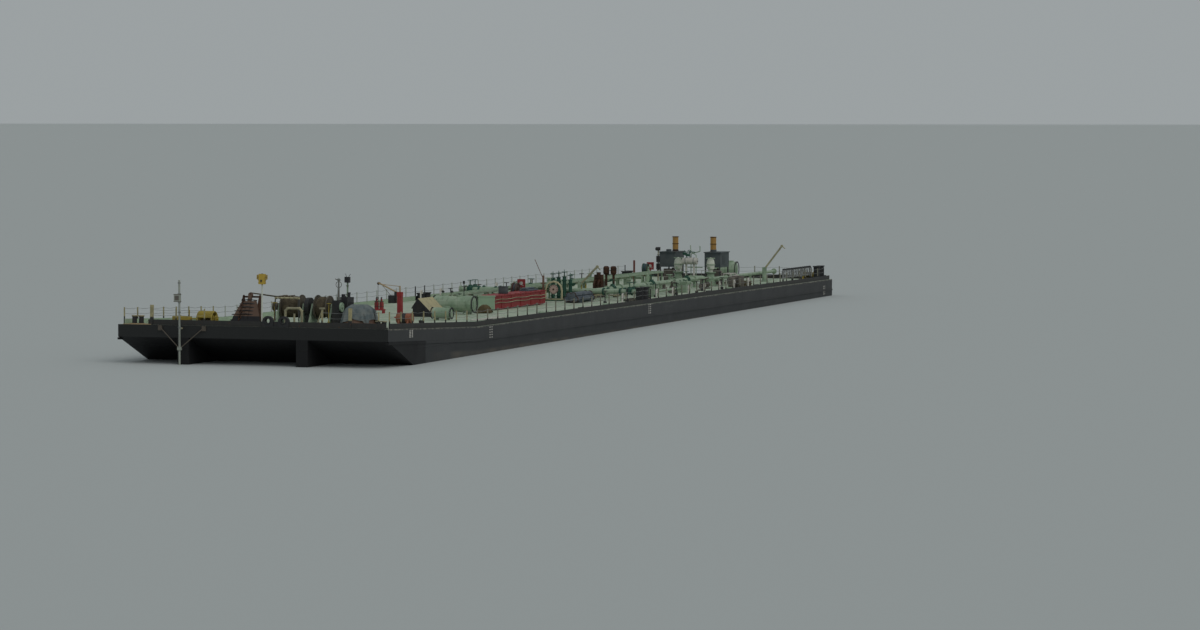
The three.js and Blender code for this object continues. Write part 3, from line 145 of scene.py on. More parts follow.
def zone(deck, low, high):
    """The lowest and highest corners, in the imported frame, of a box on deck axes."""
    corners = [deck @ Vector(corner) for corner in itertools.product(*zip(low, high))]
    return [tuple(pick(corner[i] for corner in corners) for i in range(3)) for pick in (min, max)]


def repainted(tree, where, colour, patches, zones):
    """The colour, with another paint inside each of the boxes (deck, low, high, paint)."""
    parts = node(tree, "SeparateXYZ", Vector=where)
    for deck, low, high, paint in zones:
        inside = 1.0
        for axis, (least, most) in enumerate(zip(*zone(deck, low, high))):
            middle, half = (least + most) / 2, (most - least) / 2
            near = node(tree, "Math", {"operation": "COMPARE"}, i0=parts.outputs[axis], i1=middle, i2=half)
            inside = maths(tree, "MULTIPLY", near.outputs[0], inside)
        worn = blend_colour(tree, patches, paint, tuple(1.5 * part + 0.008 for part in paint))
        colour = blend_colour(tree, inside, colour, worn)
    return colour


def weathered(name, paint, faded, rust=0.5, grime=0.5, rough=0.55, zones=()):
    """Paint that has faded in patches, with grime run down it and rust breaking through."""
    material, tree, shader, where = new_finish(name)
    patches = grain(tree, where, 14)
    colour = blend_colour(tree, band(tree, patches, 0.36, 0.66), paint, faded)
    colour = repainted(tree, where, colour, patches, zones)
    runs = band(tree, grain(tree, where, 55, (1, 1, 0.14), 4), 0.5, 0.78)
    colour = blend_colour(tree, maths(tree, "MULTIPLY", runs, grime), colour, GRIME)
    spots = grain(tree, where, 62, detail=8, rough=0.72)
    eaten = band(tree, spots, 0.7 - 0.13 * rust, 0.76 - 0.13 * rust)
    colour = blend_colour(tree, eaten, colour, blend_colour(tree, patches, RUST, OLD_RUST))
    tree.links.new(colour, shader.inputs["Base Color"])
    dull = node(tree, "MapRange", Value=patches, To_Min=rough - 0.12, To_Max=rough + 0.2).outputs[0]
    eaten_dull = maths(tree, "MULTIPLY", eaten, 0.25)
    tree.links.new(maths(tree, "ADD", dull, eaten_dull, True), shader.inputs["Roughness"])
    fine = grain(tree, where, 320, detail=3)
    bumped(tree, shader, maths(tree, "SUBTRACT", fine, maths(tree, "MULTIPLY", eaten, 1.5)), 0.35, 0.0012)
    return material


def deck_height_line(tree, where):
    """Height above the deck, foredeck slope and all, as a socket, with the split coordinates."""
    parts = node(tree, "SeparateXYZ", Vector=where)
    knuckle = (LENGTH / 2 - SHEER_LENGTH) * MODEL_SCALE
    ahead = maths(tree, "MAXIMUM", maths(tree, "SUBTRACT", parts.outputs[0], knuckle), 0.0)
    rise = maths(tree, "MULTIPLY", ahead, SHEER_RISE / SHEER_LENGTH)
    above = maths(tree, "SUBTRACT", maths(tree, "SUBTRACT", parts.outputs[2], DEPTH * MODEL_SCALE), rise)
    return above, parts


DECK_PAINT = (0.32, 0.41, 0.3)
DECK_FADED = (0.44, 0.49, 0.39)
DECK_WORN = (0.16, 0.15, 0.11)
SIDE_PAINT = (0.037, 0.039, 0.041)
SIDE_SCUFFED = (0.085, 0.085, 0.086)
SHEER_PAINT = (0.07, 0.07, 0.071)
# Painted shade colours for the forward bow face and for the rake under it, not paints of their own.
RAKE_SHADE = (0.012, 0.012, 0.013)
BOW_FACE_SHADE = (0.024, 0.025, 0.025)
SILT = (0.1, 0.09, 0.075)
EDGE_LINE = (0.2, 0.19, 0.16)


def hull_finish():
    """Charcoal sides with scuffs and a lighter sheer strake, the pale green deck on top, and painted shade:
    darker forward faces, and near-black downward faces, rake and knees.
    """
    material, tree, shader, where = new_finish("hull_steel", specular=0.3)
    above, parts = deck_height_line(tree, where)
    patches = grain(tree, where, 5)
    scuffs = band(tree, grain(tree, where, 26, (0.12, 1, 1.6), 7, 0.7), 0.56, 0.74)
    side = blend_colour(tree, maths(tree, "MULTIPLY", scuffs, 0.5), SIDE_PAINT, SIDE_SCUFFED)
    runs = band(tree, grain(tree, where, 34, (1, 1, 0.08), 5), 0.58, 0.8)
    side = blend_colour(tree, maths(tree, "MULTIPLY", runs, 0.45), side, OLD_RUST)
    strake = band(tree, above, -0.083, -0.08)
    side = blend_colour(tree, maths(tree, "MULTIPLY", strake, 0.3), side, SHEER_PAINT)
    wet = band(tree, above, -0.128, -0.15)
    aft = band(tree, parts.outputs[0], 4.0, 3.4)
    muddy = maths(tree, "MULTIPLY", maths(tree, "MULTIPLY", wet, aft), band(tree, patches, 0.3, 0.7))
    side = blend_colour(tree, muddy, side, SILT)
    worn = band(tree, grain(tree, where, 40), 0.4, 0.6)
    edge = maths(tree, "MULTIPLY", band(tree, above, -0.009, -0.004), worn)
    side = blend_colour(tree, edge, side, EDGE_LINE)
    facing = node(tree, "SeparateXYZ", Vector=node(tree, "NewGeometry").outputs["True Normal"])
    under = band(tree, facing.outputs[2], -0.12, -0.3)
    ahead = band(tree, parts.outputs[0], 4.0, 4.02)
    bow_rake_shade = maths(tree, "MULTIPLY", ahead, band(tree, above, -0.068, -0.072))
    # Painted shade: forward-facing faces a little darker; downward faces, and everything under the headlog
    # level at the bow, near black.
    side = blend_colour(tree, band(tree, facing.outputs[0], 0.5, 0.8), side, BOW_FACE_SHADE)
    side = blend_colour(tree, maths(tree, "MAXIMUM", under, bow_rake_shade), side, RAKE_SHADE)
    deck = deck_colour(tree, where, parts)
    top = maths(tree, "MULTIPLY", band(tree, facing.outputs[2], 0.6, 0.9), band(tree, above, -0.004, -0.002))
    tree.links.new(blend_colour(tree, top, side, deck), shader.inputs["Base Color"])
    dull = node(tree, "MapRange", Value=patches, To_Min=0.5, To_Max=0.8).outputs[0]
    tree.links.new(dull, shader.inputs["Roughness"])
    fine = maths(tree, "MULTIPLY", grain(tree, where, 240, detail=4), 0.4)
    dents = maths(tree, "MULTIPLY", patches, 1.6)
    plates = maths(tree, "ADD", plate_seams(tree, parts), fine)
    bumped(tree, shader, maths(tree, "ADD", plates, dents), 0.5, 0.003)
    return material


def deck_colour(tree, where, parts):
    """Pale green non-slip paint with walked-in lanes, rust blooms and puddle rings."""
    patches = grain(tree, where, 6, detail=7)
    colour = blend_colour(tree, band(tree, patches, 0.35, 0.62), DECK_PAINT, DECK_FADED)
    stains = band(tree, grain(tree, where, 17, (1, 1, 1), 8, 0.7), 0.53, 0.72)
    colour = blend_colour(tree, maths(tree, "MULTIPLY", stains, 0.75), colour, DECK_WORN)
    blooms = band(tree, grain(tree, where, 48, detail=8, rough=0.75), 0.63, 0.7)
    colour = blend_colour(tree, maths(tree, "MULTIPLY", blooms, 0.8), colour, RUST)
    foredeck = band(tree, parts.outputs[0], 3.4, 3.9)
    return blend_colour(tree, maths(tree, "MULTIPLY", foredeck, 0.3), colour, DECK_WORN)


def plate_seams(tree, parts):
    """Raised weld lines round plates of 6 by 2.4 real metres, as a height."""
    lines = []
    for socket, pitch in ((parts.outputs[0], 0.6), (parts.outputs[1], 0.24), (parts.outputs[2], 0.24)):
        place = maths(tree, "FRACT", maths(tree, "DIVIDE", maths(tree, "ADD", socket, 60.07), pitch))
        off = maths(tree, "ABSOLUTE", maths(tree, "SUBTRACT", place, 0.5))
        lines.append(band(tree, off, 0.006 / pitch * 0.5, 0.0))
    return maths(tree, "MAXIMUM", lines[0], maths(tree, "MAXIMUM", lines[1], lines[2]))


def edge_finish(name, zones=()):
    """Deck edge: posts that are cream at the bow and drab further aft, over a black coaming; the black runs up
    the posts' lower parts as painted shade.
    """
    material, tree, shader, where = new_finish(name)
    above, parts = deck_height_line(tree, where)
    patches = grain(tree, where, 30)
    share = band(tree, patches, 0.4, 0.65)
    cream = blend_colour(tree, share, (0.42, 0.37, 0.2), (0.3, 0.27, 0.15))
    drab = blend_colour(tree, share, (0.17, 0.165, 0.12), (0.27, 0.26, 0.2))
    ahead = band(tree, parts.outputs[0], 3.1, 3.4)
    posts = blend_colour(tree, ahead, drab, cream)
    black = blend_colour(tree, patches, (0.02, 0.021, 0.022), (0.045, 0.042, 0.038))
    # Black to about 0.6 m: the coaming's own black paint, and painted shade on the lower posts.
    edge = maths(tree, "ADD", above, maths(tree, "MULTIPLY", patches, 0.03))
    colour = blend_colour(tree, band(tree, edge, 0.062, 0.052), posts, black)
    colour = repainted(tree, where, colour, patches, zones)
    spots = band(tree, grain(tree, where, 90, detail=8, rough=0.7), 0.6, 0.68)
    tree.links.new(blend_colour(tree, spots, colour, RUST), shader.inputs["Base Color"])
    shader.inputs["Roughness"].default_value = 0.65
    bumped(tree, shader, grain(tree, where, 300, detail=3), 0.3, 0.001)
    return material


def rope_finish(name, fresh, dirty):
    """Laid rope: fine slanting strands."""
    material, tree, shader, where = new_finish(name, specular=0.15)
    patches = grain(tree, where, 40)
    colour = blend_colour(tree, band(tree, patches, 0.35, 0.65), fresh, dirty)
    laid = {"bands_direction": "DIAGONAL"}
    strands = node(tree, "TexWave", laid, Vector=where, Scale=160.0, Distortion=1.5).outputs[1]
    dark = blend_colour(tree, maths(tree, "MULTIPLY", strands, 0.5), colour, GRIME)
    tree.links.new(dark, shader.inputs["Base Color"])
    shader.inputs["Roughness"].default_value = 0.95
    bumped(tree, shader, strands, 0.6, 0.0015)
    return material


def cloth_finish(name, first, second):
    """Woven tarpaulin, stained in places."""
    material, tree, shader, where = new_finish(name, specular=0.2)
    patches = grain(tree, where, 22, detail=6)
    colour = blend_colour(tree, band(tree, patches, 0.35, 0.65), first, second)
    stain = maths(tree, "MULTIPLY", band(tree, grain(tree, where, 45, detail=8, rough=0.7), 0.56, 0.72), 0.6)
    tree.links.new(blend_colour(tree, stain, colour, GRIME), shader.inputs["Base Color"])
    shader.inputs["Roughness"].default_value = 0.85
    weave = node(tree, "TexWave", Vector=where, Scale=420.0, Distortion=0.6).outputs[1]
    bumped(tree, shader, weave, 0.25, 0.0006)
    return material


def rusted(name, first, second, zones=()):
    """Bare steel under a full coat of scale."""
    material, tree, shader, where = new_finish(name, specular=0.25)
    coarse = grain(tree, where, 24, detail=8, rough=0.7)
    fine = grain(tree, where, 120, detail=6, rough=0.7)
    colour = blend_colour(tree, band(tree, coarse, 0.36, 0.62), first, second)
    colour = blend_colour(tree, band(tree, fine, 0.55, 0.7), colour, (0.2, 0.085, 0.035))
    colour = repainted(tree, where, colour, coarse, zones)
    tree.links.new(colour, shader.inputs["Base Color"])
    shader.inputs["Roughness"].default_value = 0.92
    bumped(tree, shader, maths(tree, "ADD", coarse, fine), 0.6, 0.002)
    return material


PAINTS = {
    "cream_paint": {"paint": (0.4, 0.37, 0.23), "faded": (0.27, 0.25, 0.17), "rust": 0.6},
    "black_paint": {"paint": (0.018, 0.018, 0.02), "faded": (0.04, 0.04, 0.042), "rust": 0.5, "grime": 0.2},
    "pale_green": {"paint": (0.25, 0.345, 0.24), "faded": (0.35, 0.43, 0.32), "rust": 0.45, "grime": 0.5},
    "dark_green": {"paint": (0.012, 0.07, 0.045), "faded": (0.03, 0.1, 0.07), "rust": 0.35, "grime": 0.3},
    "mustard": {"paint": (0.42, 0.31, 0.035), "faded": (0.3, 0.24, 0.06), "rust": 0.4, "grime": 0.35},
    "red_paint": {"paint": (0.25, 0.02, 0.024), "faded": (0.3, 0.035, 0.038), "rust": 0.25, "grime": 0.2},
    "house_blue": {"paint": (0.06, 0.078, 0.085), "faded": (0.09, 0.105, 0.11), "rust": 0.35, "grime": 0.4},
    "winch_steel": {"paint": (0.13, 0.11, 0.08), "faded": (0.08, 0.07, 0.055), "rust": 0.7},
    "orange_paint": {"paint": (0.32, 0.11, 0.06), "faded": (0.24, 0.1, 0.06), "rust": 0.6},
    "white_paint": {"paint": (0.6, 0.58, 0.53), "faded": (0.47, 0.45, 0.41), "rust": 0.4},
    "hose_rubber": {"paint": (0.075, 0.095, 0.12), "faded": (0.12, 0.14, 0.16), "rust": 0.05, "rough": 0.75},
    "grey_steel": {"paint": (0.2, 0.21, 0.21), "faded": (0.3, 0.31, 0.3), "rust": 0.4},
    "grey_brown": {"paint": (0.11, 0.095, 0.08), "faded": (0.17, 0.15, 0.13), "rust": 0.5},
    "yellow_paint": {"paint": (0.42, 0.29, 0.05), "faded": (0.34, 0.25, 0.07), "rust": 0.3},
    "old_timber": {"paint": (0.14, 0.075, 0.05), "faded": (0.2, 0.12, 0.085), "rust": 0.2, "grime": 0.7},
}
SCALE_COLOURS = ((0.085, 0.04, 0.024), (0.04, 0.024, 0.018))
FINISH = {slot: weathered(slot, **look) for slot, look in PAINTS.items()}
FINISH["hull_paint"] = hull_finish()
FINISH["rusty_steel"] = rusted("rusty_steel", *SCALE_COLOURS)
FINISH["rope"] = rope_finish("rope", (0.19, 0.155, 0.1), (0.11, 0.09, 0.062))
FINISH["canvas"] = cloth_finish("canvas", (0.12, 0.15, 0.16), (0.2, 0.22, 0.215))
FINISH["brown_canvas"] = cloth_finish("brown_canvas", (0.13, 0.1, 0.05), (0.09, 0.07, 0.04))

BLACK = (0.018, 0.018, 0.02)
DARK_GREY = (0.05, 0.052, 0.052)
CREAM = (0.42, 0.38, 0.24)
TAN = (0.33, 0.24, 0.14)
OCHRE = (0.33, 0.18, 0.045)
PALE_GREEN = (0.26, 0.36, 0.25)
OFF_WHITE = (0.5, 0.52, 0.45)
RED = (0.25, 0.02, 0.02)
YELLOW = (0.42, 0.29, 0.05)
ANCHOR_PINK = (0.105, 0.066, 0.048)

BITT_ZONES = [
    (MAIN, (s - 0.9, low, 0), (s + 0.9, low + 0.8, 1.2), BLACK)
    for s in (-45.8, -89.1)
    for low in (-8.25, 7.45)
]
STARBOARD_ZONES = [
    (MAIN, (-91.2, -8.06, -0.1), (-14, -7.98, 0.33), (0.27, 0.35, 0.25)),
    (FORE, (-14, -8.06, -0.1), (-0.2, -7.98, 0.33), (0.27, 0.35, 0.25)),
    (MAIN, (-91.4, -8.3, 0.31), (-14, -8.02, 1.2), (0.38, 0.4, 0.37)),
    *BITT_ZONES,
]
HOUSE_ZONES = [
    (MAIN, (-79.1, -1.1, 2.44), (-78.5, 3.1, 2.58), BLACK),
    (MAIN, (-79.1, -1.1, 2.58), (-78.5, 3.1, 3.6), OCHRE),
    # Painted shade: the house's legs and lower parts under the canopy, below 1.27 m, are dark grey.
    (MAIN, (-80, -1.6, -0.1), (-77, 3.5, 1.27), DARK_GREY),
]
PUMP_ZONES = [(MAIN, (-77, -0.1, 0.95), (-75.6, 3.7, 2.2), OFF_WHITE)]
ZONES = {
    "anchor": [
        (FORE, (-2, -2, -0.1), (0, 0.6, 0.62), BLACK),
        (FORE, (-2, -2, 0.62), (0, 0.6, 2), ANCHOR_PINK),
    ],
    "anchor_rack": [
        (FORE, (-0.95, 0.12, 0.05), (-0.55, 0.46, 2.37), OFF_WHITE),
        (FORE, (-0.95, 0.1, 2.37), (-0.55, 0.48, 3), YELLOW),
    ],
    "sounder_pole": [
        (BOW, (0.2, -4.6, -3.2), (0.6, -4.1, 2.6), (0.27, 0.29, 0.25)),
        (BOW, (-0.1, -5.8, -1.4), (0.5, -4.36, 0), (0.08, 0.065, 0.05)),
        (BOW, (-0.1, -4.14, -1.4), (0.5, -2.7, 0), (0.08, 0.065, 0.05)),
    ],
    "anchor_winch_frame": [
        (FORE, (-4.65, 1.63, 0.28), (-3.4, 1.95, 1.72), BLACK),
        (FORE, (-5, 3.44, 0.14), (-3.25, 4.15, 2), BLACK),
        (FORE, (-3.92, 3.87, 0.83), (-3.33, 4, 1.42), PALE_GREEN),
        (FORE, (-4.1, 3.45, 1.53), (-3.8, 3.72, 2.8), (0.15, 0.16, 0.15)),
        (FORE, (-3.22, -0.05, 0.3), (-3.08, 1.6, 1.54), DARK_GREY),
        (FORE, (-3.22, -0.05, 1.54), (-3.08, 1.6, 1.7), CREAM),
    ],
    "fore_lamp_mast": [(FORE, (-9.2, 1.8, 2.48), (-8.7, 2.2, 2.9), BLACK)],
    "booby_hatch": [
        # Painted shade: the bow-facing gable end is black for the shade in it.
        (MAIN, (-23.86, 0, -0.1), (-23.7, 1.6, 1.2), BLACK),
        (MAIN, (-26.5, 0, -0.1), (-23.86, 1.6, 1.2), (0.34, 0.3, 0.17)),
    ],
    # Painted shade: the closed door is black like the gable round it.
    "booby_hatch_door": [(MAIN, (-24, 0, -0.1), (-23.6, 1.6, 1.2), BLACK)],
    "davit_boom": [
        (MAIN, (-22.7, -0.25, 1.3), (-22.2, 0.1, 1.58), RED),
        (MAIN, (-22.7, -1.6, 1.59), (-22.2, 0.1, 2.2), TAN),
    ],
    "red_locker": [
        (MAIN, (-33.38, 0.8, -0.1), (-33.2, 2.1, 1), PALE_GREEN),
        (MAIN, (-41.7, 0.2, -0.1), (-40.7, 0.86, 1.2), (0.06, 0.025, 0.025)),
    ],
    "reel_drum": [(MAIN, (-42, 0, 0), (-40.4, 1.1, 2), (0.07, 0.03, 0.03))],
    "manifold_valves": [
        (MAIN, (-47.85, 0.58, 0.46), (-47.4, 1.22, 1.1), (0.42, 0.3, 0.26)),
        (MAIN, (-47.85, 0.2, 0.07), (-47.4, 0.5, 1.4), CREAM),
        (MAIN, (-47.85, 1.3, 0.07), (-47.4, 1.6, 1.4), CREAM),
        (MAIN, (-47.85, 0.5, 1.1), (-47.4, 1.3, 1.4), CREAM),
    ],
    "aft_reel_stand": [
        (MAIN, (-73.9, -2.25, -0.1), (-73.7, -2.0, 1.95), (0.13, 0.04, 0.03)),
        (MAIN, (-76, -2.1, -0.1), (-74.9, -1.4, 1.45), PALE_GREEN),
    ],
    "aft_reel_drum": [(MAIN, (-76, -2.1, 0.5), (-74.9, -1.4, 1.8), (0.03, 0.09, 0.085))],
    "aft_lamp_mast": [
        (MAIN, (-77.1, -1.42, 1.1), (-76.8, -1.14, 2.14), BLACK),
        (MAIN, (-77.15, -1.45, 2.5), (-76.8, -1.1, 2.85), BLACK),
    ],
    "pump_1": PUMP_ZONES,
    "pump_2": PUMP_ZONES,
    "pump_house_1": HOUSE_ZONES,
    "pump_house_2": HOUSE_ZONES,
    "wire_rack": [(MAIN, (-89.2, 6.9, 0.3), (-81.4, 7.4, 1.0), (0.2, 0.2, 0.2))],
}
ENGINE_LOOK = {"paint": (0.075, 0.045, 0.045), "faded": (0.12, 0.09, 0.085), "rust": 0.6}
BOW_EDGE_ZONES = [
    (FORE, (-0.3, 0.6, 0), (0.02, 2.25, 0.65), BLACK),
    (FORE, (-1.2, -8, 0.04), (-0.3, -6.8, 0.47), BLACK),
    (FORE, (-0.7, 7.2, 0.04), (-0.22, 8, 0.41), BLACK),
    (FORE, (-1.2, -8, 0.47), (-0.3, -6.8, 0.6), TAN),
    (FORE, (-1.7, -8.1, -0.1), (-0.02, -6.2, 0.035), TAN),
]
NODE_FINISH = {
    "port_deck_edge": edge_finish("port_edge", BITT_ZONES),
    "starboard_deck_edge": edge_finish("starboard_edge", STARBOARD_ZONES),
    "bow_deck_edge": edge_finish("bow_edge", BOW_EDGE_ZONES),
    "stern_deck_edge": edge_finish("stern_edge"),
    "pump_house_1_engine": weathered("engine_1", **ENGINE_LOOK),
    "pump_house_2_engine": weathered("engine_2", **ENGINE_LOOK),
    "covered_heap": weathered("dunnage", **PAINTS["old_timber"]),
}


def dress_solids():
    """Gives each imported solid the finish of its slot, with other paints where its zones say."""
    for row in frame["record"]["subparts"]:
        name, slot = row["node"], row["material_slot"]
        if name in ZONES and slot in PAINTS:
            NODE_FINISH[name] = weathered(name, **PAINTS[slot], zones=ZONES[name])
        elif name in ZONES:
            NODE_FINISH[name] = rusted(name, *SCALE_COLOURS, ZONES[name])
        solid = frame["nodes"][name]
        solid.data.materials.clear()
        solid.data.materials.append(NODE_FINISH[name] if name in NODE_FINISH else FINISH[slot])


dress_solids()


# Shapes from bmesh operators, each in its own small bmesh


def block(low, high, bevel=0.0):
    """A block between two corners, its edges rounded where a bevel is given."""
    bm = bmesh.new()
    size = [b - a for a, b in zip(low, high)]
    middle = [(a + b) / 2 for a, b in zip(low, high)]
    bmesh.ops.create_cube(bm, size=1, matrix=Matrix.Translation(middle) @ Matrix.Diagonal((*size, 1)))
    if bevel:
        bmesh.ops.bevel(
            bm, geom=bm.edges[:], offset=bevel, affect="EDGES", segments=2, profile=0.5, material=-1
        )
    return bm


def along(start, end):
    """The placing that takes a shape centred on Z to the line between two points, and the line's length."""
    start, end = Vector(start), Vector(end)
    turn = Vector((0, 0, 1)).rotation_difference(end - start).to_matrix().to_4x4()
    return Matrix.Translation((start + end) / 2) @ turn, (end - start).length


def rod(start, end, radius, sides=12, end_radius=None):
    """A round bar, or a cone where the end's radius differs."""
    bm = bmesh.new()
    place, length = along(start, end)
    far = radius if end_radius is None else end_radius
    bmesh.ops.create_cone(
        bm, cap_ends=True, segments=sides, radius1=radius, radius2=far, depth=length, matrix=place
    )
    return bm


AXIS_TURNS = {
    "Z": Matrix.Identity(4),
    "Y": Matrix.Rotation(math.radians(-90), 4, "X"),
    "X": Matrix.Rotation(math.radians(90), 4, "Y"),
}


def stood(place, axis):
    """The placing that stands a shape made round Z along an axis, at a place."""
    return Matrix.Translation(place) @ AXIS_TURNS[axis]


def spun(bm, outline, place, axis, steps, joined=False):
    """Spins an outline once round Z, joins its ends on the axis if asked, and stands it along an axis."""
    bmesh.ops.spin(
        bm, geom=outline, cent=(0, 0, 0), axis=(0, 0, 1), angle=2 * math.pi, steps=steps, use_merge=True
    )
    if joined:
        bmesh.ops.remove_doubles(bm, verts=bm.verts[:], dist=1e-5)
    return placed(bm, stood(place, axis))


def turned(profile, place, axis="Z", steps=24):
    """A profile of (radius, height) points, from axis to axis, spun round Z and stood along an axis."""
    bm = bmesh.new()
    line = [bm.verts.new((radius, 0, height)) for radius, height in profile]
    edges = [bm.edges.new(pair) for pair in zip(line, line[1:])]
    return spun(bm, line + edges, place, axis, steps, joined=True)


def hoop(place, radius, thick, axis="Z", steps=24, sides=8):
    """A ring of round bar about an axis."""
    bm = bmesh.new()
    start = Matrix.Translation((radius, 0, 0)) @ Matrix.Rotation(math.radians(90), 4, "X")
    bmesh.ops.create_circle(bm, cap_ends=False, segments=sides, radius=thick, matrix=start)
    return spun(bm, bm.verts[:] + bm.edges[:], place, axis, steps)


def tube(points, radius, sides=8):
    """A round bar along points, each ring square to the mean of the two lengths that meet there."""
    bm = bmesh.new()
    points = [Vector(p) for p in points]
    steps = [(b - a).normalized() for a, b in zip(points, points[1:])]
    ways = [steps[0]] + [(a + b).normalized() for a, b in zip(steps, steps[1:])] + [steps[-1]]
    turn = Vector((0, 0, 1)).rotation_difference(ways[0]).to_matrix().to_4x4()
    bmesh.ops.create_circle(
        bm, cap_ends=True, segments=sides, radius=radius, matrix=Matrix.Translation(points[0]) @ turn
    )
    end = bm.faces[:]
    for here, there, way, next_way in zip(points, points[1:], ways, ways[1:]):
        grown = bmesh.ops.extrude_face_region(bm, geom=end)["geom"]
        ring = [part for part in grown if isinstance(part, bmesh.types.BMVert)]
        end = [part for part in grown if isinstance(part, bmesh.types.BMFace)]
        bend = way.rotation_difference(next_way).to_matrix().to_4x4()
        move = Matrix.Translation(there) @ bend @ Matrix.Translation(-here)
        bmesh.ops.transform(bm, matrix=move, verts=ring)
    return bm


def arc(centre, radius, start, end, steps, plane="YZ"):
    """Points on a stretch of circle, from one angle in degrees to another."""
    first, second = "XYZ".index(plane[0]), "XYZ".index(plane[1])
    points = []
    for i in range(steps + 1):
        angle = math.radians(start + (end - start) * i / steps)
        point = list(centre)
        point[first] += radius * math.cos(angle)
        point[second] += radius * math.sin(angle)
        points.append(tuple(point))
    return points


def winding(x, z, y0, y1, radius, thick, steps=20, sides=6):
    """Rope laid side by side on a drum whose axis runs along Y through x and z."""
    bm = bmesh.new()
    turns = math.floor((y1 - y0) / (2 * thick)) - 1
    pitch = (y1 - y0 - 2 * thick) / turns
    start = Matrix.Translation((x + radius, y0 + thick, z))
    bmesh.ops.create_circle(bm, cap_ends=True, segments=sides, radius=thick, matrix=start)
    bmesh.ops.spin(
        bm, geom=bm.verts[:] + bm.edges[:] + bm.faces[:], cent=(x, 0, z), axis=(0, 1, 0),
        dvec=(0, pitch / steps, 0), angle=2 * math.pi * turns, steps=turns * steps,
    )
    return bm


def placed(bm, matrix):
    """The shape, moved."""
    bmesh.ops.transform(bm, matrix=matrix, verts=bm.verts[:])
    return bm


def copies(bm, places):
    """The same small shape at each place."""
    shape = bpy.data.meshes.new("shape")
    bm.to_mesh(shape)
    bm.free()
    whole = bmesh.new()
    for place in places:
        copy = shape.copy()
        copy.transform(place)
        whole.from_mesh(copy)
        bpy.data.meshes.remove(copy)
    bpy.data.meshes.remove(shape)
    return whole


def merged(*shapes):
    """Several shapes as one bmesh."""
    whole = bmesh.new()
    for bm in shapes:
        mesh = bpy.data.meshes.new("shape")
        bm.to_mesh(mesh)
        bm.free()
        whole.from_mesh(mesh)
        bpy.data.meshes.remove(mesh)
    return whole


def collar(place, inner, outer, long, axis="Z", steps=24):
    """A flat ring about an axis, long along it."""
    bm = bmesh.new()
    corners = [(inner, -long / 2), (outer, -long / 2), (outer, long / 2), (inner, long / 2)]
    ring = [bm.verts.new((radius, 0, height)) for radius, height in corners]
    edges = [bm.edges.new((ring[i - 1], ring[i])) for i in range(4)]
    return spun(bm, ring + edges, place, axis, steps)


def around(count, radius, place, axis="Z"):
    """Places spaced evenly on a circle about an axis, each turned to face outwards."""
    centre = stood(place, axis)
    out = Matrix.Translation((radius, 0, 0))
    return [centre @ Matrix.Rotation(2 * math.pi * i / count, 4, "Z") @ out for i in range(count)]


def along_line(start, end, count):
    """Places spaced evenly from one point to another."""
    return [Matrix.Translation(Vector(start).lerp(Vector(end), i / (count - 1))) for i in range(count)]


def shifts(*places):
    """Plain moves to each of the places."""
    return [Matrix.Translation(place) for place in places]


def bolt(size, high):
    """A hexagon bar about the middle of its height."""
    return rod((0, 0, -high / 2), (0, 0, high / 2), size, 6)


def bolt_circle(place, radius, count, size, high, axis="Z"):
    """Hexagon bolts on a circle, their heads proud on both sides of the plate."""
    return copies(bolt(size, high), around(count, radius, place, axis))


def wheel(place, radius, axis="Z", thick=0.018, spokes=3):
    """A hand wheel with its spokes and hub."""
    centre = stood(place, axis)
    spoke = rod((-radius, 0, 0), (radius, 0, 0), thick * 0.7, 6)
    turns = [centre @ Matrix.Rotation(math.pi * i / spokes, 4, "Z") for i in range(spokes)]
    hub = placed(rod((0, 0, -1.6 * thick), (0, 0, 1.6 * thick), 2 * thick, 10), centre)
    return merged(hoop(place, radius, thick, axis, 24, 6), copies(spoke, turns), hub)


SMOOTH_UNDER = math.radians(38)


def keep(name, bm, deck, finish, body=BARGE):
    """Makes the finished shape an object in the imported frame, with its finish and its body."""
    bmesh.ops.transform(bm, matrix=deck, verts=bm.verts[:])
    bmesh.ops.recalc_face_normals(bm, faces=bm.faces[:])
    for face in bm.faces:
        face.smooth = True
    for edge in bm.edges:
        edge.smooth = not edge.is_manifold or edge.calc_face_angle(0) < SMOOTH_UNDER
    mesh = bpy.data.meshes.new(name)
    bm.to_mesh(mesh)
    bm.free()
    mesh.materials.append(FINISH[finish])
    piece = bpy.data.objects.new(name, mesh)
    bpy.context.scene.collection.objects.link(piece)
    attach(piece, body)
    return piece


# Winches


DRUM_AXIS = (-4.0, 1.1)
ROPE_THICK = 0.03
ANCHOR_DRUMS = [
    {"number": 1, "from": 0.27, "to": 1.29, "layers": [0.53, 0.583]},
    {"number": 2, "from": 2.35, "to": 2.99, "layers": [0.53, 0.578]},
]


def anchor_ropes():
    """Two close layers of rope on each anchor drum, the upper one short of the far flange."""
    x, z = DRUM_AXIS
    for drum in ANCHOR_DRUMS:
        low, high = drum["layers"]
        layers = merged(
            winding(x, z, drum["from"], drum["to"], low, ROPE_THICK),
            winding(x, z, drum["from"] + 0.08, drum["to"] - 0.21, high, ROPE_THICK),
        )
        number = drum["number"]
        keep(f"anchor_rope_{number}", layers, FORE, "rope", body=f"anchor_drum_{number}")


HAND_WINCHES = [
    {"name": "bow_hand", "deck": FORE, "x": -1.05, "y": -3.2},
    {"name": "stern_hand", "deck": MAIN, "x": -90.2, "y": 6.75},
]


def hand_winch_wires():
    """One layer of wire on the drum of each hand winch."""
    for winch in HAND_WINCHES:
        y = winch["y"]
        wire = winding(winch["x"], 0.36, y - 0.31, y + 0.31, 0.18, 0.018, steps=16)
        keep(f"{winch['name']}_wire", wire, winch["deck"], "rope", body=f"{winch['name']}_drum")


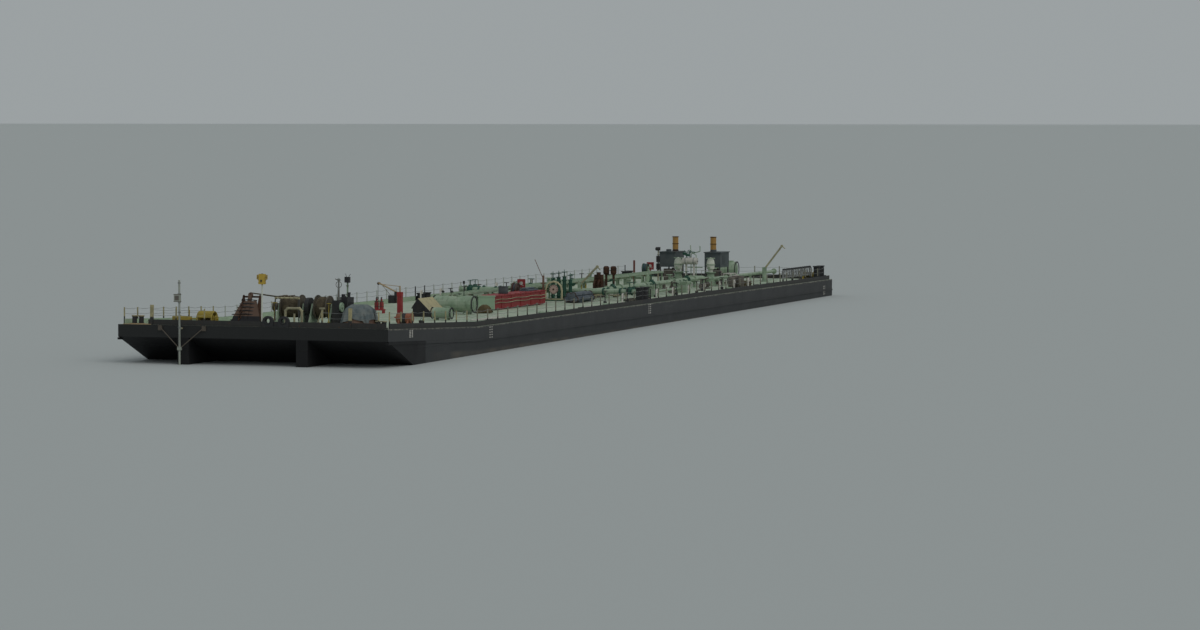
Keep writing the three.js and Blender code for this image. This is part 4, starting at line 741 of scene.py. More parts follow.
REELS = [
    {"name": "hose_reel", "x": -41.2, "y": 0.52, "z": 1.02, "radius": 0.352},
    {"name": "aft_hose_reel", "x": -75.4, "y": -1.75, "z": 1.24, "radius": 0.296},
]


def reel_hoses():
    """Two turns of hose on each reel."""
    for reel in REELS:
        y = reel["y"]
        hose = winding(reel["x"], reel["z"], y - 0.098, y + 0.098, reel["radius"] + 0.026, 0.026)
        keep(f"{reel['name']}_hose", hose, MAIN, "hose_rubber", body=reel["name"])


anchor_ropes()
hand_winch_wires()
reel_hoses()


# Bow


def bow_edge_parts():
    """Lips round the two closed chocks and caps on the bollards."""
    chocks = itertools.product((-0.26, -0.04), (0.95, 1.9), (0.34,))
    lips = copies(hoop((0, 0, 0), 0.165, 0.035, "X"), shifts(*chocks))
    bollards = [(-0.75, y, 0.475, 0.14) for y in (-7.56, -7.14)]
    bollards += [(-0.42, y, 0.415, 0.13) for y in (7.46, 7.82)]
    caps = [collar((x, y, top), 0.05, radius + 0.035, 0.05) for x, y, top, radius in bollards]
    keep("bow_chock_lips", lips, FORE, "black_paint")
    keep("bow_bollard_caps", merged(*caps), FORE, "cream_paint")


def anchor_tackle():
    """Shackle at the anchor's eye and two taut lines back over the guide bar to drum 1."""
    link = merged(
        hoop((-1.28, -0.62, 1.8), 0.09, 0.028, "Y", 16, 6),
        rod((-1.33, -0.72, 1.86), (-1.33, -0.52, 1.86), 0.03, 8),
        rod((-1.26, -0.74, 1.74), (-1.26, -0.5, 1.74), 0.032, 8),
    )
    keep("anchor_shackle", link, FORE, "rusty_steel")
    lines = []
    for start, end in ((-0.69, 0.45), (-0.55, 0.92)):
        on_bar = start + 0.5 * (end - start) + 0.15
        lines.append(tube([(-1.3, start, 1.87), (-3.12, on_bar, 1.668), (-3.926, end, 1.749)], 0.026, 6))
    keep("anchor_lines", merged(*lines), FORE, "rope")


def anchor_chain():
    """A few links of chain over the anchor's shank, and rope ends wound round its stock."""
    links = []
    for i in range(9):
        z = 1.62 - 0.16 * i
        links.append(hoop((-0.33 - 0.457 * z, -0.98, z), 0.075, 0.024, "X" if i % 2 else "Y", 16, 6))
    lashings = []
    for i in range(5):
        z = 1.45 - 0.2 * i
        front = -0.35 - 0.457 * z
        bends = [
            (front - 0.08, -1.05 - 0.12 * i, z),
            (front + 0.03, -0.62, z + 0.05),
            (front - 0.08, -0.16, z),
        ]
        lashings.append(tube(bends, 0.028, 6))
    keep("anchor_chain", merged(*links), FORE, "rusty_steel")
    keep("anchor_lashings", merged(*lashings), FORE, "black_paint")


def bow_mast_boards():
    """Yellow arms, struts and a lamp round the board at the top of the bow mast."""
    x, y = -0.73, 0.29
    arms = merged(
        block((x - 0.03, y - 0.3, 2.72), (x + 0.03, y + 0.3, 2.78), 0.008),
        block((x - 0.025, y - 0.24, 2.42), (x + 0.025, y + 0.24, 2.47), 0.008),
        copies(
            block((x - 0.03, -0.04, 2.64), (x + 0.03, 0.04, 2.9)),
            shifts((0, y - 0.28, 0), (0, y + 0.28, 0)),
        ),
        tube([(x, y - 0.28, 2.66), (x, y, 2.3), (x, y + 0.28, 2.66)], 0.018, 6),
    )
    keep("bow_mast_arms", arms, FORE, "yellow_paint")
    lamp = merged(
        rod((x, y, 2.9), (x, y, 2.97), 0.06, 12),
        rod((x + 0.13, y, 2.5), (x + 0.13, y, 2.62), 0.05, 10),
        bolt_circle((x, y, 0.03), 0.1, 6, 0.018, 0.05),
    )
    keep("bow_mast_lamps", lamp, FORE, "black_paint")


DRUM_FLANGES = {
    "anchor_drum_1": {"gear": 1.33, "brake": 0.23},
    "anchor_drum_2": {"gear": 2.31, "brake": 3.03},
}


def winch_drum_parts():
    """Teeth and bolts on the gear flange, rim and studs on the brake flange."""
    x, z = DRUM_AXIS
    for body, flange in DRUM_FLANGES.items():
        gear, brake = (x, flange["gear"], z), (x, flange["brake"], z)
        tooth = block((-0.03, -0.022, -0.03), (0.045, 0.022, 0.03))
        parts = [
            copies(tooth, around(54, 0.65, gear, "Y")),
            bolt_circle(gear, 0.3, 10, 0.028, 0.1, "Y"),
            collar(brake, 0.6, 0.665, 0.07, "Y", 48),
            bolt_circle(brake, 0.3, 10, 0.028, 0.1, "Y"),
        ]
        keep(f"{body}_teeth", merged(*parts), FORE, "winch_steel", body=body)


def winch_fittings():
    """Bearing caps, brake screws with their wheels, bed bolts, engine and gear case details."""
    x, z = DRUM_AXIS
    caps = [
        merged(
            collar((x, side, z), 0.108, 0.19, 0.05, "Y"),
            copies(bolt(0.026, 0.12), [Matrix.Translation((x + dx, side, z + 0.1)) for dx in (-0.16, 0.16)]),
        )
        for side in (-0.045, 1.595, 1.975, 3.345)
    ]
    bed = [
        copies(bolt(0.035, 0.1), along_line((bx, -0.15, 0.15), (bx, 4.2, 0.15), 9))
        for bx in (-4.87, -3.13)
    ]
    keep("winch_bearing_caps", merged(*caps, *bed), FORE, "pale_green")
    brakes = []
    for at, y, turn in ((-3.25, -0.05, 0.17), (-3.17, 3.32, 0.12)):
        brakes += [
            rod((at, y, 0.14), (at, y, 1.32), 0.028, 8),
            block((at - 0.08, y - 0.05, 0.14), (at + 0.08, y + 0.05, 0.3), 0.01),
            wheel((at, y, 1.32), turn, "Z", 0.018),
        ]
    keep("winch_brake_wheels", merged(*brakes), FORE, "mustard")
    engine = merged(
        copies(
            block((-0.02, 0, -0.3), (0.02, 0.012, 0.3)),
            shifts(*((-4.85 + 0.085 * i, 4.1, 1.12) for i in range(9))),
        ),
        rod((-4.25, 3.75, 1.69), (-4.25, 3.75, 1.86), 0.11, 16),
        rod((-4.47, 3.78, 1.69), (-4.47, 3.78, 1.76), 0.04, 8),
        block((-4.97, 3.55, 0.75), (-4.94, 4.0, 1.5)),
        collar((-4.7, 3.9, 1.93), 0.06, 0.1, 0.07),
        *(rod((fx, 4.08, 0.8), (fx, 4.14, 0.8), 0.075, 12) for fx in (-4.18, -4.4)),
    )
    keep("winch_engine_details", engine, FORE, "black_paint")
    cover = merged(
        bolt_circle((-3.62, 3.965, 1.12), 0.22, 10, 0.022, 0.03, "Y"),
        rod((-3.62, 3.93, 1.12), (-3.62, 4.0, 1.12), 0.07, 14),
    )
    keep("winch_cover_bolts", cover, FORE, "pale_green")
    lever = merged(
        rod((-3.95, 3.58, 2.62), (-3.95, 3.36, 2.72), 0.022, 8),
        hoop((-3.95, 3.58, 2.4), 0.17, 0.016, "X"),
        rod((-3.95, 3.58, 2.2), (-3.72, 3.66, 1.5), 0.016, 6),
    )
    keep("winch_levers", lever, FORE, "winch_steel")
    rings = [collar((-3.15, y, 1.6), 0.03, 0.075, 0.05, "Y", 16) for y in (0.12, 0.32, 0.62, 0.98, 1.2, 1.42)]
    keep("winch_guide_rings", merged(*rings), FORE, "cream_paint")


def bow_hand_winch_guard():
    """Guard hoops over the bow hand winch, its gear box and a brake lever."""
    x, y = -1.05, -3.2
    bars = [
        rod((bx, y - 0.45, bz), (bx, y + 0.45, bz), 0.05, 8)
        for bx, _, bz in arc((x, y, 0.36), 0.41, 15, 165, 12, "XZ")
    ]
    guard = merged(
        *(tube(arc((x, y + side, 0.36), 0.42, -45, 225, 20, "XZ"), 0.035, 8) for side in (-0.45, 0.45)),
        *bars,
        block((x - 0.17, -5.3, 0.07), (x + 0.17, -4.2, 0.5), 0.03),
        rod((x, -4.9, 0.44), (x, -4.9, 0.56), 0.08, 14),
        rod((x - 0.1, -4.35, 0.4), (x + 0.1, -4.25, 0.85), 0.025, 8),
        rod((x, -4.22, 0.36), (x, y - 0.51, 0.36), 0.04, 10),
    )
    keep("bow_hand_winch_guard", guard, FORE, "mustard")


def lamp_heads():
    """Rings, whips and bars round the fore mast's lamp, and the clipped cable up the mast."""
    quarters = [Matrix.Translation((-9, 2, 0)) @ Matrix.Rotation(a, 4, "Z") for a in (0, 1.57, 3.14, 4.71)]
    fore = merged(
        collar((-9, 2, 2.5), 0.03, 0.15, 0.03),
        collar((-9, 2, 2.81), 0.02, 0.15, 0.03),
        rod((-9.04, 1.93, 2.8), (-9.06, 1.84, 3.0), 0.014, 6),
        rod((-8.96, 2.07, 2.8), (-8.94, 2.2, 2.98), 0.014, 6),
        copies(rod((0.12, 0, 2.5), (0.12, 0, 2.82), 0.012, 5), quarters),
    )
    keep("fore_lamp_guard", fore, FORE, "black_paint")
    foot = merged(
        bolt_circle((-9, 2, 0.03), 0.12, 6, 0.02, 0.06),
        tube([(-9.07, 2.02, 0.2), (-9.075, 2.02, 1.4), (-9.06, 2.02, 2.48)], 0.015, 6),
        *(collar((-9, 2, z), 0.03, 0.085, 0.04) for z in (0.6, 1.2, 1.8, 2.3)),
    )
    keep("fore_mast_cable", foot, FORE, "grey_brown")


def sounder_details():
    """Collars and cable on the sounder pole, and trim on its box."""
    pole = merged(
        *(
            collar((0.36, -4.25, z), 0.04, 0.085, 0.06, "Z", 16)
            for z in (-2.4, -1.22, -0.1, 0.75, 1.3, 1.8, 2.4)
        ),
        rod((0.36, -4.25, -3.1), (0.36, -4.25, -2.95), 0.09, 14),
        tube([(0.42, -4.25, 1.36), (0.43, -4.25, 0.4), (0.42, -4.25, -1.2)], 0.014, 6),
    )
    keep("sounder_collars", pole, BOW, "grey_steel")
    box = merged(
        block((0.25, -4.57, 1.33), (0.455, -4.17, 1.37), 0.008),
        block((0.25, -4.57, 1.73), (0.455, -4.17, 1.77), 0.008),
        block((0.44, -4.5, 1.42), (0.456, -4.24, 1.68)),
    )
    keep("sounder_box_trim", box, BOW, "grey_brown")


def heap_dunnage():
    """Old boards and battens left round the foot of the covered heap."""
    boards = []
    for i in range(13):
        place = Matrix.Translation((-4.5 + 0.185 * i, 5.92 + 0.03 * (i % 2), 0.01 * (i % 4)))
        turn = Matrix.Rotation(0.16 * math.sin(7.3 * i), 4, "Z")
        board = block((-0.05, -0.34, 0), (0.05, 0.34, 0.1 + 0.07 * (i % 3)), 0.008)
        boards.append(placed(board, place @ turn))
    for i in range(8):
        place = Matrix.Translation((-2.2, 4.45 + 0.21 * i, 0))
        turn = Matrix.Rotation(0.22 * math.sin(5.1 * i), 4, "Z")
        batten = block((-0.3, -0.05, 0), (0.3, 0.05, 0.06 + 0.03 * (i % 2)), 0.008)
        boards.append(placed(batten, place @ turn))
    keep("heap_battens", merged(*boards), FORE, "old_timber")


CLOTHS = [
    {
        "name": "heap_tarpaulin", "over": "covered_heap", "deck": FORE, "centre": (-3.36, 5.12),
        "size": (3.0, 2.5), "drop": 1.3, "turn": 3, "finish": "canvas", "cells": (50, 40),
    },
    {
        "name": "brown_cloth", "over": "brown_heap", "deck": MAIN, "centre": (-29.65, 2.7),
        "size": (1.4, 1.3), "drop": 0.52, "turn": 12, "finish": "brown_canvas", "cells": (30, 28),
    },
]
CLOTH_THICK = 0.03
CLOTH_FRAMES = 60
CLOTH_FEEL = {
    "quality": 6,
    "mass": 0.6,
    "tension_stiffness": 25,
    "compression_stiffness": 25,
    "bending_stiffness": 1.2,
    "air_damping": 3,
}
CLOTH_CONTACT = {
    "distance_min": 0.012,
    "collision_quality": 4,
    "use_self_collision": True,
    "self_distance_min": 0.02,
}


def collider(name, mesh):
    """A hidden helper that the falling cloth lands on."""
    thing = bpy.data.objects.new(name, mesh)
    bpy.context.scene.collection.objects.link(thing)
    thing.modifiers.new("solid", "COLLISION")
    thing.collision.thickness_outer = 0.01
    thing.collision.thickness_inner = 0.1
    thing.collision.cloth_friction = 40
    return thing


def fallen(cloth):
    """The cloth's mesh after it has dropped over its heap and the deck, on deck axes in real metres."""
    heap = frame["nodes"][cloth["over"]]
    shape = heap.data.copy()
    shape.transform(cloth["deck"].inverted() @ heap.matrix_world)
    slab = bpy.data.meshes.new("slab")
    x, y = cloth["centre"]
    ground = block((x - 4, y - 4, -0.5), (x + 4, y + 4, 0))
    ground.to_mesh(slab)
    ground.free()
    solids = [collider("heap_collider", shape), collider("deck_collider", slab)]
    bm = bmesh.new()
    place = Matrix.Translation((x, y, cloth["drop"])) @ Matrix.Rotation(math.radians(cloth["turn"]), 4, "Z")
    size = Matrix.Diagonal((*cloth["size"], 1, 1))
    across, down = cloth["cells"]
    bmesh.ops.create_grid(bm, x_segments=across, y_segments=down, size=0.5, matrix=place @ size)
    flat = bpy.data.meshes.new("flat_cloth")
    bm.to_mesh(flat)
    bm.free()
    sheet = bpy.data.objects.new("flat_cloth", flat)
    bpy.context.scene.collection.objects.link(sheet)
    fall = sheet.modifiers.new("fall", "CLOTH")
    for settings, values in ((fall.settings, CLOTH_FEEL), (fall.collision_settings, CLOTH_CONTACT)):
        for name, value in values.items():
            setattr(settings, name, value)
    fall.point_cache.frame_end = CLOTH_FRAMES
    scene = bpy.context.scene
    for number in range(1, CLOTH_FRAMES + 1):
        scene.frame_set(number)
    shown = sheet.evaluated_get(bpy.context.evaluated_depsgraph_get())
    result = bpy.data.meshes.new_from_object(shown)
    scene.frame_set(1)
    for thing in (sheet, *solids):
        bpy.data.objects.remove(thing)
    return result


def draped(cloth):
    """The fallen cloth, given its thickness and kept."""
    bm = bmesh.new()
    bm.from_mesh(fallen(cloth))
    bmesh.ops.recalc_face_normals(bm, faces=bm.faces[:])
    bmesh.ops.solidify(bm, geom=bm.faces[:], thickness=-CLOTH_THICK)
    piece = keep(cloth["name"], bm, cloth["deck"], cloth["finish"])


bow_edge_parts()
anchor_tackle()
anchor_chain()
bow_mast_boards()
winch_drum_parts()
winch_fittings()
bow_hand_winch_guard()
lamp_heads()
sounder_details()
heap_dunnage()
for cloth in CLOTHS:
    draped(cloth)


# Foredeck and midships


def foredeck_gear():
    """Hoops, bungs and a black belt on the oil drum, and the pail beside it."""
    drum = merged(
        *(collar((-12, y, 0.44), 0.28, 0.315, 0.05, "Y", 28) for y in (3.97, 4.25, 4.55, 4.83)),
        rod((-12.12, 4.84, 0.58), (-12.12, 4.87, 0.58), 0.05, 10),
        rod((-11.85, 4.84, 0.36), (-11.85, 4.87, 0.36), 0.03, 10),
    )
    keep("oil_drum_hoops", drum, FORE, "orange_paint")
    belt = merged(
        collar((-12, 4.4, 0.44), 0.29, 0.308, 0.22, "Y", 28),
        turned([(0, 0), (0.13, 0), (0.16, 0.33), (0.14, 0.33), (0.115, 0.03), (0, 0.03)], (-12.35, 5.3, 0)),
        hoop((-12.35, 5.3, 0.31), 0.155, 0.012, "Y", 20, 6),
    )
    keep("drum_belt_and_pail", belt, FORE, "black_paint")


def davit_parts():
    """Crank and cheek plates on the head, sheave and hook on the boom; they swing with it."""
    x, y = -22.4, -0.1
    gear = merged(
        rod((x - 0.16, y - 0.5, 1.1), (x - 0.3, y - 0.5, 1.1), 0.03, 8),
        rod((x - 0.3, y - 0.5, 1.1), (x - 0.3, y - 0.5, 1.32), 0.022, 8),
        rod((x - 0.3, y - 0.5, 1.32), (x - 0.42, y - 0.5, 1.32), 0.028, 8),
        copies(
            block((-0.012, -0.18, -0.14), (0.012, 0.18, 0.14), 0.006),
            shifts((x - 0.19, y - 0.5, 1.12), (x + 0.19, y - 0.5, 1.12)),
        ),
    )
    keep("davit_crank", gear, MAIN, "black_paint", body="davit")
    wire = merged(
        tube([(x + 0.05, y - 1.43, 2.02), (x + 0.05, y - 1.43, 1.2)], 0.012, 6),
        tube([(x + 0.02, y - 0.6, 1.35), (x + 0.05, y - 1.32, 2.16)], 0.012, 6),
        rod((x + 0.02, y - 1.4, 2.08), (x + 0.08, y - 1.4, 2.08), 0.085, 16),
        rod((x + 0.05, y - 1.43, 1.25), (x + 0.05, y - 1.43, 1.08), 0.035, 10),
        tube(arc((x + 0.05, y - 1.43, 1.0), 0.055, 90, -170, 12), 0.016, 6),
    )
    keep("davit_fall", wire, MAIN, "rusty_steel", body="davit")


def extinguishers():
    """Valve, handle, hose and straps of the two extinguishers."""
    tops = []
    straps = []
    for y in (-3.615, -3.285):
        tops += [
            rod((-27.2, y, 0.9), (-27.2, y, 1.0), 0.035, 10),
            block((-27.3, y - 0.02, 0.985), (-27.1, y + 0.02, 1.02), 0.006),
            tube(
                [(-27.2, y, 0.97), (-27.08, y, 0.94), (-27.05, y + 0.03, 0.75), (-27.05, y + 0.02, 0.4)],
                0.018, 6,
            ),
        ]
        straps += [collar((-27.2, y, z), 0.135, 0.15, 0.03) for z in (0.42, 0.74)]
    keep("extinguisher_tops", merged(*tops, *straps), MAIN, "black_paint")


TANK_LINES = [
    {
        "name": "fore_deck_tank", "x": -20.6, "y": (2.75, 4.0), "radius": 0.34, "lift": 0.08,
        "straps": (3.05, 3.7),
    },
    {
        "name": "long_deck_tank", "x": -28.0, "y": (0.0, 2.65), "radius": 0.52, "lift": 0.1,
        "straps": (0.35, 0.95, 1.35, 2.0, 2.4),
    },
    {
        "name": "aft_deck_tank", "x": -86.3, "y": (0.3, 2.05), "radius": 0.58, "lift": 0.28,
        "straps": (0.6, 1.7),
    },
]


def tank_fittings():
    """Straps, end rims, drain valves and gauge glasses on the three cross tanks."""
    for tank in TANK_LINES:
        x, radius = tank["x"], tank["radius"]
        z = radius + tank["lift"]
        low, high = tank["y"]
        straps = [collar((x, y, z), radius - 0.01, radius + 0.012, 0.05, "Y", 36) for y in tank["straps"]]
        drain_high = z - radius + 0.12
        drain = rod((x + 0.1, high + 0.01, drain_high), (x + 0.1, high + 0.12, drain_high), 0.03, 8)
        gauge = rod((x + 0.2, high + 0.025, z - 0.25), (x + 0.2, high + 0.025, z + 0.2), 0.018, 6)
        bottom = z - radius - tank["lift"]
        feet = [
            block((x + 0.2, y - 0.02, bottom), (x + 0.3, y + 0.02, z - 0.6 * radius)) for y in tank["straps"]
        ]
        keep(f"{tank['name']}_straps", merged(*straps, drain, gauge, *feet), MAIN, "pale_green")
        rims = [collar((x, y, z), radius - 0.06, radius + 0.018, 0.04, "Y", 36) for y in (high, low)]
        keep(f"{tank['name']}_rims", merged(*rims), MAIN, "black_paint")
    dome = [(0, 1.34), (0.09, 1.34), (0.1, 1.4), (0.05, 1.46), (0, 1.46)]
    caps = merged(
        *(turned(dome, (-28, y, 0), steps=14) for y in (0.55, 1.15)),
        bolt_circle((-28, 1.675, 1.16), 0.2, 10, 0.02, 0.06),
        wheel((-28, 1.675, 1.26), 0.13, "Z", 0.014),
        rod((-28, 1.675, 1.12), (-28, 1.675, 1.26), 0.025, 8),
        rod((-28, 1.95, 1.1), (-28, 1.95, 1.95), 0.025, 8),
        rod((-28, 1.95, 1.9), (-28, 1.95, 2.08), 0.07, 12),
        rod((-28, 1.95, 1.95), (-27.86, 2.02, 2.0), 0.02, 6),
    )
    keep("tank_vent_caps", caps, MAIN, "black_paint")


def ladder(start, end, wide, count, thick=0.03):
    """A ladder lying between two points, its rungs across Y."""
    ends = Vector(start), Vector(end)
    rails = [
        rod(*(place + Vector((0, side, 0)) for place in ends), thick, 8) for side in (-wide / 2, wide / 2)
    ]
    rung = rod((0, -wide / 2, 0), (0, wide / 2, 0), 0.7 * thick, 6)
    return merged(*rails, copies(rung, along_line(start, end, count)))


def white_ladder():
    """The white ladder lying on deck, and two life rings."""
    keep("deck_ladder", ladder((-20.4, 5.5, 0.03), (-24.9, 5.62, 0.03), 0.42, 14), MAIN, "white_paint")
    rings = [hoop((-36.2 - 0.35 * i, 7.35, 0.06 + 0.1 * i), 0.3, 0.06, "Z", 28, 8) for i in range(2)]
    keep("life_rings", merged(*rings), MAIN, "white_paint")


def locker_fittings():
    """Lashings, hasps and hinges of the red locker, and what stands or lies on it."""
    lines = []
    for z in (0.45, 0.66):
        points = [
            (-33.35 - 0.95 * i, 2.05 + 0.006 * (i % 2), z + 0.03 * math.sin(1.9 * i)) for i in range(11)
        ]
        lines.append(tube(points, 0.025, 6))
    keep("locker_lashing", merged(*lines), MAIN, "cream_paint")
    hasp = block((-0.06, -0.02, 0.84), (0.06, 0.03, 0.98), 0.008)
    hinge = rod((-0.09, 0.9, 0.95), (0.09, 0.9, 0.95), 0.025, 8)
    hinges = merged(
        copies(hasp, along_line((-34.2, 2, 0), (-42.1, 2, 0), 9)),
        copies(hinge, along_line((-34.2, 0, 0), (-42.1, 0, 0), 9)),
    )
    keep("locker_hasps", hinges, MAIN, "red_paint")
    hoses = []
    for fore, aft, first, z, count in ((-40.3, -42.3, 1.15, 0.99, 5), (-40.4, -42.1, 1.22, 1.1, 3)):
        for y in (first + 0.13 * i for i in range(count)):
            hoses.append(rod((fore, y, z), (aft, y, z), 0.055, 8))
    keep("locker_hose_bundle", merged(*hoses), MAIN, "hose_rubber")
    crate = merged(
        block((-36.65, 1.2, 0.93), (-36.15, 1.7, 1.42), 0.02),
        block((-36.67, 1.18, 1.36), (-36.13, 1.72, 1.42), 0.01),
    )
    keep("locker_crate", crate, MAIN, "house_blue")
    post = merged(
        block((-42.86, 1.84, 0.9), (-42.74, 1.96, 1.9), 0.01),
        rod((-42.8, 1.88, 1.7), (-42.8, 1.3, 2.95), 0.022, 6),
        block((-42.88, 1.72, 1.35), (-42.72, 2.06, 1.42), 0.01),
    )
    keep("locker_post", post, MAIN, "old_timber")


def reel_fittings():
    """Rims and bolts on the reels, and the blank white dots on their boards."""
    for reel in REELS:
        x, y, z, radius = reel["x"], reel["y"], reel["z"], reel["radius"] / 0.8
        rims = [hoop((x, side, z), radius - 0.02, 0.024, "Y", 32, 6) for side in (y - 0.175, y + 0.175)]
        bolts = bolt_circle((x, y, z), 0.16, 6, 0.02, 0.4, "Y")
        keep(f"{reel['name']}_rims", merged(*rims, bolts), MAIN, "winch_steel", body=reel["name"])
        board = x - 1.09
        dot = merged(
            rod((board - 0.01, y, 1.38), (board + 0.012, y, 1.38), 0.12, 20),
            rod((board - 0.01, y + 0.13, 1.24), (board + 0.012, y + 0.13, 1.24), 0.035, 12),
        )
        keep(f"{reel['name']}_dot", dot, MAIN, "white_paint")


# Manifold and cargo pipes

RUN_HIGH = 0.62
RUN_PIPE = 0.16
RUN_SIDES = (-3, 3)
CROSSINGS = list(itertools.product((-1, 1), (-49.3, -50.2)))


def pipe_discs(place, offset, inner, outer, long, axis):
    """Two like discs on a pipe, at an offset to each side of a place."""
    way = AXIS_TURNS[axis].to_3x3() @ Vector((0, 0, 1))
    return [collar(Vector(place) + offset * side * way, inner, outer, long, axis, 20) for side in (-1, 1)]


def flange_pair(place, pipe, axis):
    """Two bolted pipe flanges face to face."""
    discs = pipe_discs(place, 0.028, pipe - 0.02, pipe + 0.09, 0.045, axis)
    return merged(*discs, bolt_circle(place, pipe + 0.055, 8, 0.016, 0.16, axis))


def gate_valve(place, pipe, axis, high=0.55, turn=0.16):
    """A flanged gate valve standing on a pipe, with its bonnet, stem and hand wheel."""
    x, y, z = place
    ends = pipe_discs(place, 0.17, pipe - 0.02, pipe + 0.08, 0.05, axis)
    shoulder = [(0, -pipe - 0.04), (pipe + 0.02, -pipe), (pipe + 0.05, 0), (pipe + 0.02, pipe + 0.05)]
    body = turned([*shoulder, (0.1, pipe + 0.16), (0, pipe + 0.16)], place, steps=16)
    return merged(
        *ends, body,
        rod((x, y, z + pipe + 0.1), (x, y, z + high), 0.028, 8),
        collar((x, y, z + pipe + 0.14), 0.02, 0.14, 0.04, steps=16),
        wheel((x, y, z + high), turn, "Z", 0.016),
    )


def manifold_details():
    """Wheels and collars on the four tall valves, and bolts on the blind flange."""
    x = -48.75
    tops = zip((0.45, 0.86, 1.27, 1.7), (1.8, 1.86, 1.94, 1.72))
    wheels = []
    for y, high in tops:
        wheels += [
            hoop((x, y, high - 0.025), 0.18, 0.022, "Z", 24, 6),
            rod((x, y, high), (x, y, high + 0.14), 0.02, 6),
            collar((x, y, high - 0.34), 0.03, 0.15, 0.05, steps=16),
            collar((x, y, high - 0.6), 0.11, 0.17, 0.05, steps=16),
            collar((x, y, 0.3), 0.11, 0.18, 0.05, steps=16),
            bolt_circle((x, y, high - 0.6), 0.15, 8, 0.016, 0.1),
            block((x - 0.02, y - 0.15, 0.5), (x + 0.02, y + 0.15, 0.62), 0.01),
        ]
    keep("manifold_valve_wheels", merged(*wheels), MAIN, "dark_green")
    blind = merged(
        bolt_circle((-47.66, 0.9, 0.78), 0.255, 12, 0.022, 0.24, "X"),
        rod((-47.58, 0.9, 0.78), (-47.54, 0.9, 0.78), 0.06, 12),
        collar((-47.66, 0.9, 0.78), 0.285, 0.315, 0.05, "X", 32),
    )
    keep("blind_flange_bolts", blind, MAIN, "rusty_steel")


def crossing_details():
    """Levers, flanges, valves and drip trays on the two cross pipes, the low sampling pipe and hose ends."""
    levers = []
    ends = []
    for way, cross in CROSSINGS:
        y = way * 2.3
        levers += [
            rod((cross, y, 0.62), (cross, y, 1.0), 0.05, 10),
            rod((cross, y, 0.98), (cross + 0.35, y + 0.1, 1.08), 0.025, 6),
        ]
        ends += [
            bolt_circle((cross, way * 6.47, RUN_HIGH), 0.215, 10, 0.02, 0.12, "Y"),
            flange_pair((cross, way * 5.1, RUN_HIGH), RUN_PIPE, "Y"),
            flange_pair((cross, way * 3.9, RUN_HIGH), RUN_PIPE, "Y"),
            gate_valve((cross, way * 5.75, RUN_HIGH), RUN_PIPE, "Y", 0.62, 0.2),
        ]
    keep("crossing_levers", merged(*levers), MAIN, "mustard")
    keep("crossing_flanges", merged(*ends), MAIN, "dark_green")
    trays = []
    for way in (-1, 1):
        low, high = sorted((way * 5.5, way * 6.75))
        trays += [
            block((-50.65, low, 0), (-48.85, high, 0.02)),
            block((-50.65, low, 0), (-50.61, high, 0.16)),
            block((-48.89, low, 0), (-48.85, high, 0.16)),
            block((-50.65, low, 0), (-48.85, low + 0.04, 0.16)),
            block((-50.65, high - 0.04, 0), (-48.85, high, 0.16)),
        ]
    keep("drip_trays", merged(*trays), MAIN, "grey_brown")
    low_pipe = merged(
        tube([(-47.3, 2.3, 0.2), (-52.6, 2.3, 0.2), (-52.9, 2.5, 0.2), (-52.9, 4.4, 0.2)], 0.06, 10),
        tube([(-47.6, 0.3, 0.18), (-46.2, 0.3, 0.18), (-46.0, 0.45, 0.18), (-46.0, 2.2, 0.18)], 0.05, 10),
        *(block((bx - 0.03, 2.2, 0), (bx + 0.03, 2.4, 0.2)) for bx in (-48, -50.8, -52.2)),
    )
    keep("sampling_pipe", low_pipe, MAIN, "cream_paint")
    hoses = merged(
        *(
            collar((hx, y, z), 0.16, 0.2, 0.07, "X", 20)
            for hx in (-48.26, -44.94)
            for y, z in ((2.78, 0.26), (3.1, 0.26), (3.42, 0.26), (2.94, 0.52), (3.26, 0.52))
        ),
    )
    keep("hose_end_flanges", hoses, MAIN, "rusty_steel")


def run_details():
    """Flange pairs, valves and chocks along the cargo runs, grating bars and side pipes on the catwalk."""
    flanges = []
    valves = []
    saddles = []
    for y in RUN_SIDES:
        flanges += [flange_pair((s, y, RUN_HIGH), RUN_PIPE, "X") for s in (-52.6, -55.4, -60.8, -67.4, -72.2)]
        valves += [gate_valve((s, y, RUN_HIGH), RUN_PIPE, "X", 0.6, 0.18) for s in (-53.8, -62.4, -70.6)]
        for s in (-54.5, -59.6, -65.0, -69.4):
            saddles.append(block((s - 0.04, y - 0.2, 0), (s + 0.04, y + 0.2, 0.5), 0.01))
    keep("run_flanges", merged(*flanges), MAIN, "pale_green")
    keep("run_valves", merged(*valves), MAIN, "dark_green")
    keep("run_saddles", merged(*saddles), MAIN, "grey_brown")
    bar = block((-0.02, -0.9, 1.1), (0.02, 0.07, 1.112))
    keep("catwalk_grating", copies(bar, along_line((-33.3, 0, 0), (-73.8, 0, 0), 160)), MAIN, "pale_green")
    sides = merged(
        tube([(-33.1, -1.02, 0.92), (-73.9, -1.02, 0.92)], 0.045, 8),
        tube([(-33.1, -1.12, 0.84), (-73.9, -1.12, 0.84)], 0.03, 8),
        *(block((s - 0.03, -1.18, 0.76), (s + 0.03, -0.9, 1.02)) for s in (-34 - 3 * i for i in range(14))),
    )
    keep("catwalk_side_pipes", sides, MAIN, "cream_paint")


HATCHES = [(x, side) for x in (-56.5, -64.0) for side in (1, -1)]


